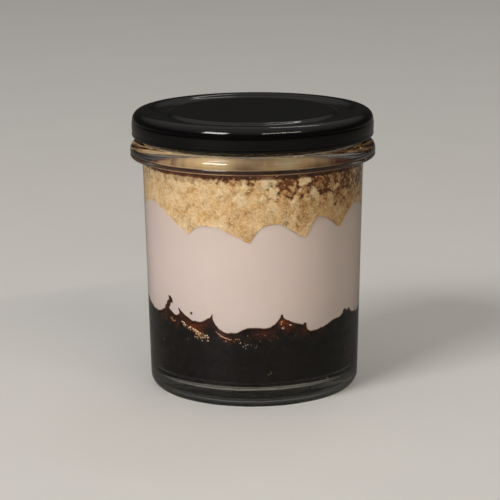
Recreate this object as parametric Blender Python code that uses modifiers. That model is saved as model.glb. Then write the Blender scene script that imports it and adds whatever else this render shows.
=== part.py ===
"""A layered cheesecake in a straight glass jar, closed with a twist-off metal lid.

Metres, +Z up. The origin is on the surface the jar stands on, at the jar's axis.
The side that faces -Y is the front. Angles round the jar are in degrees from
the front, positive towards +X.
"""

import math
import random

import bmesh
import bpy
from mathutils import Vector, noise
from mathutils.bvhtree import BVHTree

MODEL_NAME = "cheesecake_jar"
GOLDEN_ANGLE = 137.508

# Whole object
TOTAL_HEIGHT = 0.1003
GAP = 0.0003
ROUND_STEPS = 48
FOOD_STEPS = 80

# Lid, a pressed steel cap with a rolled lower edge
LID_RADIUS = 0.0430
LID_SHEET = 0.0007
LID_BOTTOM = 0.0912
LID_SHOULDER = 0.0033
CURL_RADIUS = 0.0009
CROWN_INNER = 0.0374
GROOVE_OUTER = 0.0354
GROOVE_INNER = 0.0306
GROOVE_DEPTH = 0.0012
PANEL_RADIUS = 0.0292
PANEL_DROP = 0.0003
LUG_COUNT = 6
LUG_WIDTH = 0.0060
LUG_REACH = 0.0401
LUG_TOP = 0.0926

# Jar mouth and neck
RIM_TOP = TOTAL_HEIGHT - LID_SHEET - GAP
MOUTH_RADIUS = 0.0370
NECK_RADIUS = 0.0393
THREAD_COUNT = 6
THREAD_ARC = 46.0
THREAD_HEIGHT = 0.0938
THREAD_RISE = 0.0020
THREAD_BULGE = 0.0009

# Bead, the glass ring under the lid
BEAD_TOP = 0.0898
BEAD_BOTTOM = 0.0840
BEAD_RADIUS = 0.0436
BEAD_TOP_BEND = 0.0033
BEAD_LOWER_BEND = 0.0008
BEAD_FILLET = 0.0009

# Jar body and base
BODY_TOP_RADIUS = 0.0393
BODY_LOW_RADIUS = 0.0374
HEEL_RADIUS = 0.0050
FOOT_INNER = 0.0296
PUNT_HEIGHT = 0.0014
FLOOR_HEIGHT = 0.0058
FLOOR_BEND = 0.0040
INNER_LOW_RADIUS = 0.0350
INNER_LOW_HEIGHT = 0.0098

# Food layers
FOOD_CLEARANCE = 0.0004
LAYER_GAP = 0.00045
LAYER_RINGS = (0.013, 0.023, 0.030, 0.0342)
HEAP_RINGS = (0.009, 0.016, 0.0225, 0.0285, 0.0335)
WALL_RING = 0.036
LOBE_FADE_START = 0.014
TOP_FULLNESS = 1.2
FOOT_FULLNESS = 0.75
LOBE_SUMMIT = (0.40, 0.58)

# Where the cream's rounded tops part at the glass: angle and height of the parting,
# how far the cream rises above it before the next one, and where on the way
CREAM_TOPS = (
    (-86.7, 0.0654, 0.0071, 0.42),
    (-36.6, 0.0621, 0.0044, 0.37),
    (-1.3, 0.0602, 0.0065, 0.36),
    (29.2, 0.0611, 0.0064, 0.36),
    (52.7, 0.0630, 0.0070, 0.41),
)
CREAM_TOP_END = 97.7
CREAM_TOP_CENTRE = 0.0655

# The same for the cream's underside, which sags below each parting
CREAM_FEET = (
    (-85.4, 0.0339, 0.0031, 0.61),
    (-55.5, 0.0337, 0.0023, 0.63),
    (-43.8, 0.0332, 0.0030, 0.51),
    (-23.5, 0.0331, 0.0044, 0.38),
    (-4.8, 0.0291, 0.0027, 0.66),
    (15.0, 0.0331, 0.0010, 0.50),
    (30.0, 0.0293, 0.0027, 0.22),
    (48.7, 0.0289, 0.0010, 0.69),
    (59.1, 0.0310, 0.0001, 0.50),
    (65.3, 0.0305, 0.0025, 0.48),
)
CREAM_FOOT_END = 92.8
CREAM_FOOT_CENTRE = 0.0300

# Thin ridges of the dark base squeezed up between the cream's lobes:
# angle, height and half width in degrees
BASE_RIDGES = (
    (-52.8, 0.0033, 2.4),
    (-43.8, 0.0005, 2.2),
    (-23.5, 0.0006, 2.4),
    (15.0, 0.0006, 2.4),
    (59.5, 0.0005, 2.4),
)

# Lobes on the side away from the front follow these ranges
HIDDEN_LOBE_WIDTH = (24.0, 36.0)
CREAM_TOP_RANGE = (0.0602, 0.0640)
CREAM_TOP_RISE = (0.0045, 0.0072)
CREAM_FOOT_RANGE = (0.0305, 0.0340)
CREAM_FOOT_SAG = (0.0024, 0.0048)
LOBE_SEED = 12

# Crumb topping
CRUMB_TOP_WALL = 0.0878
CRUMB_TOP_CENTRE = 0.0882
CRUMB_TOP_ROUGH = 0.0011
CRUMB_SIDE_ROUGH = 0.0042
CRUMB_LUMP = 0.0034
CRUMB_SIDE_ROWS = 6
# Hollows between the clumps at the glass: angle, height, depth and half width
CRUMB_HOLLOWS = (
    (-3.0, 0.0782, 0.0016, 0.0032),
    (16.0, 0.0795, 0.0026, 0.0045),
    (44.0, 0.0795, 0.0024, 0.0060),
    (165.0, 0.0790, 0.0024, 0.0060),
)
CRUMB_COUNT = 40
CRUMB_SIZES = (0.0030, 0.0014)
CRUMB_STANDS = 0.30
CRUMB_SIZE_STRIDE = 7
CRUMB_SEED = 7


def clear_scene():
    """Remove what the start-up file holds."""
    for item in list(bpy.data.objects):
        bpy.data.objects.remove(item)


def add_collection(name):
    """A new collection in the scene."""
    collection = bpy.data.collections.new(name)
    bpy.context.scene.collection.children.link(collection)
    return collection


def add_material(name, colour, roughness, metallic=0.0, transmission=0.0):
    """A Principled material."""
    material = bpy.data.materials.new(name)
    material.use_nodes = True
    shader = material.node_tree.nodes["Principled BSDF"]
    shader.inputs["Base Color"].default_value = (*colour, 1.0)
    shader.inputs["Roughness"].default_value = roughness
    shader.inputs["Metallic"].default_value = metallic
    shader.inputs["Transmission Weight"].default_value = transmission
    return material


def add_object(name, mesh, collection, material=None):
    """Link a mesh as a named object, with its material."""
    item = bpy.data.objects.new(name, mesh)
    collection.objects.link(item)
    if material:
        mesh.materials.append(material)
    return item


def bake(item):
    """Give an object the mesh that its modifiers make, and drop the modifiers."""
    evaluated = item.evaluated_get(bpy.context.evaluated_depsgraph_get())
    mesh = bpy.data.meshes.new_from_object(evaluated)
    item.modifiers.clear()
    item.data = mesh
    return item


def arc(centre, radius, start, end, segments):
    """Points on an arc in the (radius, height) plane, angles in degrees from outward."""
    points = []
    for i in range(segments + 1):
        angle = math.radians(start + (end - start) * i / segments)
        points.append(
            (centre[0] + radius * math.cos(angle), centre[1] + radius * math.sin(angle))
        )
    return points


def turned(name, profile, steps, collection, material):
    """Turn a (radius, height) profile round the Z axis with a Screw modifier."""
    mesh = bpy.data.meshes.new(name)
    points = [(radius, 0.0, height) for radius, height in profile]
    edges = [(i, i + 1) for i in range(len(points) - 1)]
    mesh.from_pydata(points, edges, [])
    item = add_object(name, mesh, collection, material)
    screw = item.modifiers.new("Turn", "SCREW")
    screw.axis = "Z"
    screw.angle = math.tau
    screw.steps = steps
    screw.render_steps = steps
    screw.use_merge_vertices = True
    screw.merge_threshold = 0.00001
    return item


def round_off(item):
    """Shade a turned piece smooth, with its real edges kept sharp."""
    item.data.shade_smooth()
    item.data.set_sharp_from_angle(angle=math.radians(35.0))


def around(radius, angle, height):
    """A point at an angle from the front."""
    turn = math.radians(angle)
    return Vector((radius * math.sin(turn), -radius * math.cos(turn), height))


def angle_of(point):
    """The angle of a point from the front, in degrees from -180 to 180."""
    return math.degrees(math.atan2(point.x, -point.y))


def inner_radius(height):
    """Radius of the jar's inner wall, which opens slightly towards the mouth."""
    share = (height - INNER_LOW_HEIGHT) / (RIM_TOP - INNER_LOW_HEIGHT)
    return INNER_LOW_RADIUS + (MOUTH_RADIUS - INNER_LOW_RADIUS) * share


def unite(item, additions):
    """Fuse every object of a collection into the item, and remove that collection."""
    union = item.modifiers.new("Fuse", "BOOLEAN")
    union.operation = "UNION"
    union.operand_type = "COLLECTION"
    union.collection = additions
    union.solver = "EXACT"
    bake(item)
    for added in list(additions.objects):
        bpy.data.objects.remove(added)
    bpy.data.collections.remove(additions)
    return item


def jar_profile():
    """The jar's section, from the inner floor over the rim and down the outside."""
    wall = NECK_RADIUS - MOUTH_RADIUS
    rim_centre = (MOUTH_RADIUS + wall / 2, RIM_TOP - wall / 2)
    floor_edge = (INNER_LOW_RADIUS - FLOOR_BEND, FLOOR_HEIGHT + FLOOR_BEND)
    bead_bend = (BEAD_RADIUS - BEAD_TOP_BEND, BEAD_TOP - BEAD_TOP_BEND)
    bead_corner = (BEAD_RADIUS - BEAD_LOWER_BEND, BEAD_BOTTOM + BEAD_LOWER_BEND)
    fillet = (BODY_TOP_RADIUS + BEAD_FILLET, BEAD_BOTTOM - BEAD_FILLET)
    heel = (BODY_LOW_RADIUS - HEEL_RADIUS, HEEL_RADIUS)
    profile = [(0.0, FLOOR_HEIGHT)]
    profile += arc(floor_edge, FLOOR_BEND, -90.0, 0.0, 3)
    profile += arc(rim_centre, wall / 2, 180.0, 0.0, 4)
    profile += [(NECK_RADIUS, BEAD_TOP + 0.0004)]
    profile += arc(bead_bend, BEAD_TOP_BEND, 78.0, 0.0, 4)
    profile += arc(bead_corner, BEAD_LOWER_BEND, 0.0, -80.0, 2)
    profile += arc(fillet, BEAD_FILLET, 90.0, 180.0, 2)
    profile += arc(heel, HEEL_RADIUS, 0.0, -90.0, 4)
    profile += [(FOOT_INNER, 0.0), (FOOT_INNER - 0.0014, PUNT_HEIGHT / 2)]
    profile += [(0.0, PUNT_HEIGHT)]
    return profile


def thread_ridge(number, collection):
    """One of the short sloping ridges that the lid's lugs run under."""
    curve = bpy.data.curves.new(f"thread_{number}", "CURVE")
    curve.dimensions = "3D"
    curve.bevel_depth = THREAD_BULGE
    curve.bevel_resolution = 1
    curve.use_fill_caps = True
    points = 7
    line = curve.splines.new("POLY")
    line.points.add(points - 1)
    for i in range(points):
        share = i / (points - 1)
        angle = 360.0 * number / THREAD_COUNT + THREAD_ARC * share
        place = around(NECK_RADIUS, angle, THREAD_HEIGHT + THREAD_RISE * share)
        line.points[i].co = (*place, 1.0)
    guide = bpy.data.objects.new(curve.name, curve)
    collection.objects.link(guide)
    evaluated = guide.evaluated_get(bpy.context.evaluated_depsgraph_get())
    mesh = bpy.data.meshes.new_from_object(evaluated)
    mesh.transform(guide.matrix_world)
    bpy.data.objects.remove(guide)
    weld = bmesh.new()
    weld.from_mesh(mesh)
    bmesh.ops.remove_doubles(weld, verts=weld.verts, dist=0.00001)
    weld.to_mesh(mesh)
    weld.free()
    add_object(curve.name, mesh, collection)


def build_jar(parts, material):
    """Clear jar: straight sides, a bead under the lid and a threaded neck."""
    jar = bake(turned("jar", jar_profile(), ROUND_STEPS, parts, material))
    ridges = add_collection("thread_ridges")
    for number in range(THREAD_COUNT):
        thread_ridge(number, ridges)
    unite(jar, ridges)
    round_off(jar)
    return jar


def lid_profile():
    """The lid's section, from the panel out, down the skirt and back underneath."""
    top = TOTAL_HEIGHT
    under = TOTAL_HEIGHT - LID_SHEET
    inside = LID_RADIUS - LID_SHEET
    shoulder = (LID_RADIUS - LID_SHOULDER, top - LID_SHOULDER)
    curl = (LID_RADIUS - CURL_RADIUS, LID_BOTTOM + CURL_RADIUS)
    groove = GROOVE_DEPTH
    profile = [(0.0, top - PANEL_DROP), (PANEL_RADIUS, top - PANEL_DROP)]
    profile += [(GROOVE_INNER, top - groove), (GROOVE_OUTER, top - groove)]
    profile += [(CROWN_INNER - 0.0006, top - 0.0002), (CROWN_INNER, top)]
    profile += arc(shoulder, LID_SHOULDER, 90.0, 0.0, 5)
    profile += arc(curl, CURL_RADIUS, 0.0, -225.0, 6)
    profile += [(inside, LID_BOTTOM + 2 * CURL_RADIUS)]
    profile += arc(shoulder, LID_SHOULDER - LID_SHEET, 0.0, 90.0, 3)
    profile += [(CROWN_INNER - 0.0003, under)]
    profile += [(GROOVE_OUTER - 0.0003, under - groove)]
    profile += [(GROOVE_INNER + 0.0001, under - groove)]
    profile += [(PANEL_RADIUS - 0.0003, under - PANEL_DROP), (0.0, under - PANEL_DROP)]
    return profile


def lid_lug(number, collection):
    """One of the lugs pressed inward from the lid's rolled edge."""
    outer = LID_RADIUS - CURL_RADIUS
    bottom = LID_BOTTOM + CURL_RADIUS / 3
    bpy.ops.mesh.primitive_cube_add(size=1.0)
    lug = bpy.context.object
    lug.name = f"lug_{number}"
    for vertex in lug.data.vertices:
        vertex.co.x *= LUG_WIDTH
        vertex.co.y = outer if vertex.co.y > 0 else LUG_REACH
        vertex.co.z = LUG_TOP if vertex.co.z > 0 else bottom
    lug.rotation_euler.z = math.tau * (number + 0.25) / LUG_COUNT
    for holder in list(lug.users_collection):
        holder.objects.unlink(lug)
    collection.objects.link(lug)


def build_lid(parts, material):
    """Black lacquered lid with a stepped top, a rolled edge and lugs."""
    lid = bake(turned("lid", lid_profile(), ROUND_STEPS, parts, material))
    lugs = add_collection("lid_lugs")
    for number in range(LUG_COUNT):
        lid_lug(number, lugs)
    bpy.context.view_layer.update()
    unite(lid, lugs)
    round_off(lid)
    return lid


def lobe_ring(front, end, heights, swells, draw):
    """All lobes round the jar: the front ones, then drawn ones for the hidden side."""
    lobes = list(front)
    finish = front[0][0] + 360.0
    angle = end
    while finish - angle > HIDDEN_LOBE_WIDTH[0]:
        shape = [draw.uniform(*limits) for limits in (heights, swells, LOBE_SUMMIT)]
        lobes.append((angle, *shape))
        angle += draw.uniform(*HIDDEN_LOBE_WIDTH)
    return lobes


def lobed_height(lobes, angle, sense, fullness):
    """Height at the glass of a row of rounded lobes that swell up or down."""
    start = lobes[0][0]
    angle = start + (angle - start) % 360.0
    ends = [*lobes[1:], (start + 360.0, lobes[0][1])]
    for (first, height, swell, summit), following in zip(lobes, ends):
        if angle <= following[0]:
            share = (angle - first) / (following[0] - first)
            line = height + (following[1] - height) * share
            skew = math.log(0.5) / math.log(summit)
            return line + sense * swell * math.sin(math.pi * share**skew) ** fullness
    return lobes[0][1]


def fade_in(radius):
    """How much of the lobes' form is left at a radius: none inside, all at the glass."""
    share = (radius - LOBE_FADE_START) / (WALL_RING - LOBE_FADE_START)
    share = min(max(share, 0.0), 1.0)
    return share * share * (3.0 - 2.0 * share)


def bumps(marks, angle):
    """Sum of the rounded bumps at the marked angles."""
    total = 0.0
    for centre, height, half_width in marks:
        offset = abs((angle - centre + 180.0) % 360.0 - 180.0)
        total += height * math.exp(-((offset / half_width) ** 2))
    return total


def cream_top(point, tops):
    """Height of the cream's upper surface, where the crumbs lie."""
    radius = math.hypot(point.x, point.y)
    at_glass = lobed_height(tops, angle_of(point), 1.0, TOP_FULLNESS)
    return CREAM_TOP_CENTRE + (at_glass - CREAM_TOP_CENTRE) * fade_in(radius)


def base_top(point, feet):
    """Height of the dark base's upper surface, which the cream has pressed down."""
    radius = math.hypot(point.x, point.y)
    angle = angle_of(point)
    at_glass = lobed_height(feet, angle, -1.0, FOOT_FULLNESS) + bumps(BASE_RIDGES, angle)
    return CREAM_FOOT_CENTRE + (at_glass - CREAM_FOOT_CENTRE) * fade_in(radius)


def crumb_top(point):
    """Height of the crumb heap before its single crumbs are added."""
    radius = math.hypot(point.x, point.y)
    rough = noise.noise(point / CRUMB_LUMP) * CRUMB_TOP_ROUGH
    rise = (CRUMB_TOP_WALL - CRUMB_TOP_CENTRE) * fade_in(radius)
    return CRUMB_TOP_CENTRE + rise + rough


def hollow(point):
    """How far the crumbs stand back from the glass between their clumps."""
    depth = 0.0
    for angle, height, deepest, half_width in CRUMB_HOLLOWS:
        offset = (point - around(WALL_RING, angle, height)).length
        depth += deepest * math.exp(-((offset / half_width) ** 2))
    return depth


def shape_layer(item, bottom, top, rough=0.0):
    """Move a unit-high turned disc between its lower and upper surfaces.

    A vertex's height is its level: 0 lies on the lower surface and 1 on the upper.
    Vertices of the outermost ring go to the jar's inner wall, less the clearance,
    and those between the two surfaces are pressed in unevenly by up to rough.
    """
    for vertex in item.data.vertices:
        spot = Vector((vertex.co.x, vertex.co.y, 0.0))
        level = vertex.co.z
        low, high = bottom(spot), top(spot)
        vertex.co.z = low + (high - low) * level
        if spot.length < WALL_RING - 0.0001:
            continue
        radius = inner_radius(vertex.co.z) - FOOD_CLEARANCE
        if 0.0 < level < 1.0:
            radius -= rough * abs(noise.noise(vertex.co / CRUMB_LUMP))
            radius -= hollow(vertex.co) if rough else 0.0
        place = spot.normalized() * radius
        vertex.co.x, vertex.co.y = place.x, place.y


def split_quads(item):
    """Split faces along their shorter diagonal, alike on both sides of a gap."""
    work = bmesh.new()
    work.from_mesh(item.data)
    bmesh.ops.triangulate(work, faces=work.faces, quad_method="SHORT_EDGE")
    work.to_mesh(item.data)
    work.free()


def unit_disc(name, side_levels, parts, material, top_rings=LAYER_RINGS):
    """A turned disc one unit high, with rings for a layer's two surfaces."""
    profile = [(radius, 1.0) for radius in (0.0, *top_rings)]
    profile += [(WALL_RING, level) for level in side_levels]
    profile += [(radius, 0.0) for radius in (*reversed(LAYER_RINGS), 0.0)]
    return bake(turned(name, profile, FOOD_STEPS, parts, material))


def floor_surface(spot):
    """The jar's inner floor and its bend up to the wall, less the clearance."""
    radius = spot.length
    bend_start = INNER_LOW_RADIUS - FLOOR_BEND
    bend = FLOOR_BEND - FOOD_CLEARANCE
    over = min(max(radius - bend_start, 0.0) / bend, 1.0)
    lift = bend * (1.0 - math.sqrt(1.0 - over * over))
    return FLOOR_HEIGHT + FOOD_CLEARANCE + lift


def build_base(parts, material, feet):
    """Dark syrupy base layer, from the jar's floor up to the cream."""
    base = unit_disc("dark_base", (1.0, 0.0), parts, material)
    shape_layer(base, floor_surface, lambda spot: base_top(spot, feet))
    split_quads(base)
    return base


def build_cream(parts, material, feet, tops):
    """Cream layer with rounded lobes above and below."""
    cream = unit_disc("cream_layer", (1.0, 0.5, 0.0), parts, material)
    shape_layer(
        cream,
        lambda spot: base_top(spot, feet) + LAYER_GAP,
        lambda spot: cream_top(spot, tops),
    )
    split_quads(cream)
    return cream


def crumb(number, draw, heap, collection):
    """One uneven crumb, sunk into the top of the heap."""
    rank = (number * CRUMB_SIZE_STRIDE) % CRUMB_COUNT / CRUMB_COUNT
    size = CRUMB_SIZES[0] + (CRUMB_SIZES[1] - CRUMB_SIZES[0]) * rank
    reach = inner_radius(CRUMB_TOP_WALL) - FOOD_CLEARANCE - size * 1.35
    radius = reach * math.sqrt((number + 0.5) / CRUMB_COUNT)
    spot = around(radius, GOLDEN_ANGLE * number, TOTAL_HEIGHT)
    landing = heap.ray_cast(spot, Vector((0.0, 0.0, -1.0)))[0]
    bpy.ops.mesh.primitive_ico_sphere_add(subdivisions=1, radius=size)
    piece = bpy.context.object
    piece.name = f"crumb_{number}"
    stretch = Vector([draw.uniform(0.75, 1.2) for _ in range(3)])
    for vertex in piece.data.vertices:
        vertex.co = vertex.co * stretch * draw.uniform(0.85, 1.12)
    piece.rotation_euler = [draw.uniform(0.0, math.tau) for _ in range(3)]
    piece.location = (landing.x, landing.y, landing.z + size * CRUMB_STANDS)
    for holder in list(piece.users_collection):
        holder.objects.unlink(piece)
    collection.objects.link(piece)


def build_crumbs(parts, material, tops):
    """Crumb topping: a rough core that fills the lobes' valleys, and single crumbs."""
    levels = [1.0 - row / CRUMB_SIDE_ROWS for row in range(CRUMB_SIDE_ROWS + 1)]
    topping = unit_disc("crumb_topping", levels, parts, material, HEAP_RINGS)
    shape_layer(
        topping,
        lambda spot: cream_top(spot, tops) + LAYER_GAP,
        crumb_top,
        CRUMB_SIDE_ROUGH,
    )
    split_quads(topping)
    crumbs = add_collection("single_crumbs")
    heap = BVHTree.FromObject(topping, bpy.context.evaluated_depsgraph_get())
    draw = random.Random(CRUMB_SEED)
    for number in range(CRUMB_COUNT):
        crumb(number, draw, heap, crumbs)
    bpy.context.view_layer.update()
    unite(topping, crumbs)
    topping.data.shade_flat()
    return topping


def build():
    """Make every piece of the jar and its contents."""
    clear_scene()
    parts = add_collection(MODEL_NAME)
    glass = add_material("clear_glass", (0.96, 0.98, 0.97), 0.03, transmission=1.0)
    lacquer = add_material("black_lacquer", (0.010, 0.009, 0.011), 0.16)
    base = add_material("dark_syrup", (0.020, 0.007, 0.004), 0.20)
    cream = add_material("cream", (0.80, 0.70, 0.62), 0.45)
    crumbs = add_material("biscuit_crumb", (0.74, 0.50, 0.24), 0.85)
    draw = random.Random(LOBE_SEED)
    tops = lobe_ring(CREAM_TOPS, CREAM_TOP_END, CREAM_TOP_RANGE, CREAM_TOP_RISE, draw)
    feet = lobe_ring(CREAM_FEET, CREAM_FOOT_END, CREAM_FOOT_RANGE, CREAM_FOOT_SAG, draw)
    build_jar(parts, glass)
    build_lid(parts, lacquer)
    build_base(parts, base, feet)
    build_cream(parts, cream, feet, tops)
    build_crumbs(parts, crumbs, tops)


build()
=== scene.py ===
"""Looks for a layered cheesecake in a straight glass jar with a black twist-off lid.

Metres, +Z up. The origin is on the surface the jar stands on, at the jar's axis.
The side that faces -Y is the front. Angles round the jar are in degrees from
the front, positive towards +X.
"""

import math
import random

import bpy
import numpy as np
from mathutils import Matrix, Vector, noise


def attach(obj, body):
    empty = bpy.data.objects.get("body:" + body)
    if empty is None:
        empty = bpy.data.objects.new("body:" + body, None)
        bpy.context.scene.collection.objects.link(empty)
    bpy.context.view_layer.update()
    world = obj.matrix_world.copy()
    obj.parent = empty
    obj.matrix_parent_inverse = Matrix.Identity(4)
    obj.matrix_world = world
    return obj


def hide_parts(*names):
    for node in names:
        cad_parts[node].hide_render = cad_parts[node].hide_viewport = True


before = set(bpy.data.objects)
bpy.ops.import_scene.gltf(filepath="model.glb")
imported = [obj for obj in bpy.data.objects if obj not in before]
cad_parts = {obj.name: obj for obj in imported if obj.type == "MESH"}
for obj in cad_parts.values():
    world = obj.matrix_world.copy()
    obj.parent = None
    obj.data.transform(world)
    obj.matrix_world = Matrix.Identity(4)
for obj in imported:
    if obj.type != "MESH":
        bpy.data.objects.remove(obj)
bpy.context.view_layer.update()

# Whole object
TOTAL_HEIGHT = 0.1003
RIM_GAP = 0.0003
GOLDEN_ANGLE = 137.508
TURN_STEPS = 240
FOOD_STEPS = 720

# Lid, a pressed steel cap with a rolled lower edge
LID_RADIUS = 0.0430
LID_SHEET = 0.0007
LID_BOTTOM = 0.0912
LID_SHOULDER = 0.0033
SKIRT_STEP = 0.00016
CURL_RADIUS = 0.0009
CROWN_INNER = 0.0374
GROOVE_OUTER = 0.0354
GROOVE_INNER = 0.0306
GROOVE_DEPTH = 0.0012
PANEL_RADIUS = 0.0292
PANEL_DROP = 0.0003

# Lugs: the first one's angle, half their arc, the radius that they reach, how much
# narrower they get, and the heights over the lid's edge between which they are drawn out
LUG_COUNT = 6
LUG_START = 105.0
LUG_HALF_ARC = 4.1
LUG_REACH = 0.0401
LUG_TAPER = (0.86, 0.86, 0.80)
LUG_BAND = (0.0002, 0.0015)

# Jar
RIM_TOP = TOTAL_HEIGHT - LID_SHEET - RIM_GAP
MOUTH_RADIUS = 0.0370
NECK_RADIUS = 0.0393
THREAD_COUNT = 6
THREAD_ARC = 46.0
THREAD_HEIGHT = 0.0938
THREAD_RISE = 0.0020
THREAD_BULGE = 0.0009
THREAD_ROOM = 0.0014
THREAD_END = 0.09
NECK_SPAN = (0.0920, 0.0985)
BEAD_TOP = 0.0898
BEAD_BOTTOM = 0.0840
BEAD_RADIUS = 0.0436
BEAD_TOP_BEND = 0.0033
BEAD_LOWER_BEND = 0.0008
BEAD_FILLET = 0.0009
BODY_TOP_RADIUS = 0.0393
BODY_LOW_RADIUS = 0.0374
HEEL_RADIUS = 0.0050
FOOT_INNER = 0.0296
PUNT_HEIGHT = 0.0014
FLOOR_HEIGHT = 0.0058
FLOOR_BEND = 0.0040
INNER_LOW_RADIUS = 0.0350
INNER_LOW_HEIGHT = 0.0098

# The mould's parting line round the bead: depth, and height from its middle
PARTING_HEIGHT = 0.0857
PARTING_LINE = (
    (0.0, 0.00042), (0.00006, 0.00018), (0.00022, 0.0), (0.00010, -0.00018), (0.00004, -0.00040),
)

# The faint ledge on the wall under the bead: height from it, and how proud it stands
LEDGE_HEIGHT = 0.0805
LEDGE_LINE = (
    (0.00090, 0.0), (0.00035, 0.0), (0.00012, 0.00004),
    (-0.00008, 0.00008), (-0.00025, 0.00004), (-0.00060, 0.0),
)

# How far each food reaches into the glass wall, so that no air shows between them
BASE_REACH = 0.00004
CREAM_REACH = 0.00012
CORE_REACH = 0.00003
GRAIN_REACH = 0.00085
GLINT_REACH = 0.00003
FLAKE_REACH = CREAM_REACH + 0.00016

# Air between the dry crumbs and the glass above the body, and where it begins
NECK_AIR = 0.00025
NECK_START = 0.0827

# Crumbs between these heights are painted nearly black, a painted shade for the dark line under the
# bead
UNDER_BEAD_SHADE = (0.0811, 0.0848)

# The side that the photograph doesn't show, in degrees: for lobes, crumbs and flakes
HIDDEN_SIDE = (80.0, 280.0)
HIDDEN_CRUMBS = (88.0, 268.0)
HIDDEN_FLAKES = (84.0, 268.0)

# Food layers. Their faces at the glass are worked out on a ring of one radius, and
# what lies further out than AT_GLASS counts as lying at the glass
WALL_RING = 0.036
AT_GLASS = 0.0345
LOBE_FADE_START = 0.014
TOP_FULLNESS = 1.2
FOOT_FULLNESS = 0.75
LOBE_SUMMIT = (0.40, 0.58)
SOFT_PARTINGS = (-4.8, 48.7)

# Lobes of the cream's upper and lower edge at the glass: the angle where each begins,
# its height there, how far it swells, and where in its width it swells most
CREAM_TOPS = (
    (-86.7, 0.0654, 0.0071, 0.42),
    (-36.6, 0.0621, 0.0044, 0.37),
    (-1.3, 0.0602, 0.0065, 0.36),
    (29.2, 0.0611, 0.0064, 0.36),
    (52.7, 0.0630, 0.0070, 0.41),
)
CREAM_TOP_END = 97.7
CREAM_TOP_CENTRE = 0.0655
CREAM_FEET = (
    (-85.4, 0.0339, 0.0031, 0.61),
    (-55.5, 0.0337, 0.0023, 0.63),
    (-43.8, 0.0332, 0.0030, 0.51),
    (-23.5, 0.0331, 0.0044, 0.38),
    (-4.8, 0.0291, 0.0027, 0.66),
    (15.0, 0.0331, 0.0010, 0.50),
    (30.0, 0.0293, 0.0027, 0.22),
    (48.7, 0.0289, 0.0010, 0.69),
    (59.1, 0.0310, 0.0001, 0.50),
    (65.3, 0.0305, 0.0025, 0.48),
)
CREAM_FOOT_END = 92.8
CREAM_FOOT_CENTRE = 0.0300

# Lobes on the side that the photograph doesn't show are drawn between these limits
HIDDEN_LOBE_WIDTH = (24.0, 36.0)
CREAM_TOP_RANGE = (0.0602, 0.0640)
CREAM_TOP_RISE = (0.0045, 0.0072)
CREAM_FOOT_RANGE = (0.0305, 0.0340)
CREAM_FOOT_SAG = (0.0024, 0.0048)
LOBE_SEED = 12

# Crumbs, the stain on the cream, and flakes
CRUMB_TOP_WALL = 0.0878
CRUMB_TOP_CENTRE = 0.0882
CRUMB_TOP_ROUGH = 0.0011
CRUMB_LUMP = 0.0034
HEAP_PEBBLE = 0.0026
HEAP_PEBBLE_RISE = 0.0009
STAIN_REACH = 0.00030
FLAKE_THICKNESS = 0.00090
GRAINS_PER_METRE = 1900.0

# Uneven lines round the jar: each wave is its height, its pitch and its seed
TOP_WAVES = ((0.00022, 0.0042, 1), (0.00040, 0.0017, 2), (0.00030, 0.0008, 7))
FOOT_WAVES = ((0.00012, 0.0030, 3), (0.00018, 0.0011, 4), (0.00012, 0.0006, 8))
HEAP_WAVES = ((0.0008, 0.0050, 5), (0.0004, 0.0015, 6))
# Streaks of the painted shade behind the neck, along the round
NECK_SHADE_WAVES = ((0.9, 0.0060, 21), (0.6, 0.0021, 22))
LINE_STEPS = 1440
LINE_ANGLES = np.arange(LINE_STEPS) * 360.0 / LINE_STEPS

# Rows up the side of a food: shares of its height
CORE_ROWS = [step / 100 for step in range(101)]
BASE_ROWS = (0.0, 0.10, 0.25, 0.40, 0.52, 0.62, 0.70, 0.77, 0.83, 0.88, 0.92, 0.95, 0.975, 1.0)

# Rows up the cream's side: a share of its height there, and an offset in metres
CREAM_ROWS = (
    (0.0, 0.0), (0.0, 0.00015), (0.0, 0.0003), (0.0, 0.00048), (0.0, 0.0007),
    (0.0, 0.0010), (0.0, 0.0015), (0.0, 0.0024), (0.1, 0.0022), (0.2, 0.0),
    (0.3, 0.0), (0.4, 0.0), (0.5, 0.0), (0.6, 0.0), (0.7, 0.0), (0.8, 0.0),
    (0.9, -0.0022), (1.0, -0.0024), (1.0, -0.0013), (1.0, -0.0006), (1.0, -0.0002), (1.0, 0.0),
)

# Loose crumbs at the glass: the most there are, how far above the cream's edge they
# begin, their sizes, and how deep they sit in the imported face, in their own sizes
WALL_GRAINS = (3200, -0.0002, (0.00013, 0.00022, 0.00042), (0.35, 0.95))
WALL_BITS = (300, 0.0005, (0.00040, 0.00055, 0.00105), (0.70, 0.95))
WALL_CLUMPS = (26, 0.0020, (0.0010, 0.0016), (0.75, 0.92))

# Loose crumbs on the heap: how many, how far out, their sizes and how high they stand
HEAP_GRAINS = (2300, 0.0364, (0.00025, 0.00060), 0.30)
HEAP_BITS = (620, 0.0358, (0.0006, 0.0013), 0.35)

# Clumps on the heap: how many, how far out, the largest size, how much smaller the
# smallest is and how high they stand
HEAP_CLUMPS = (46, 0.0330, 0.0029, 0.0014, 0.25)
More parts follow.
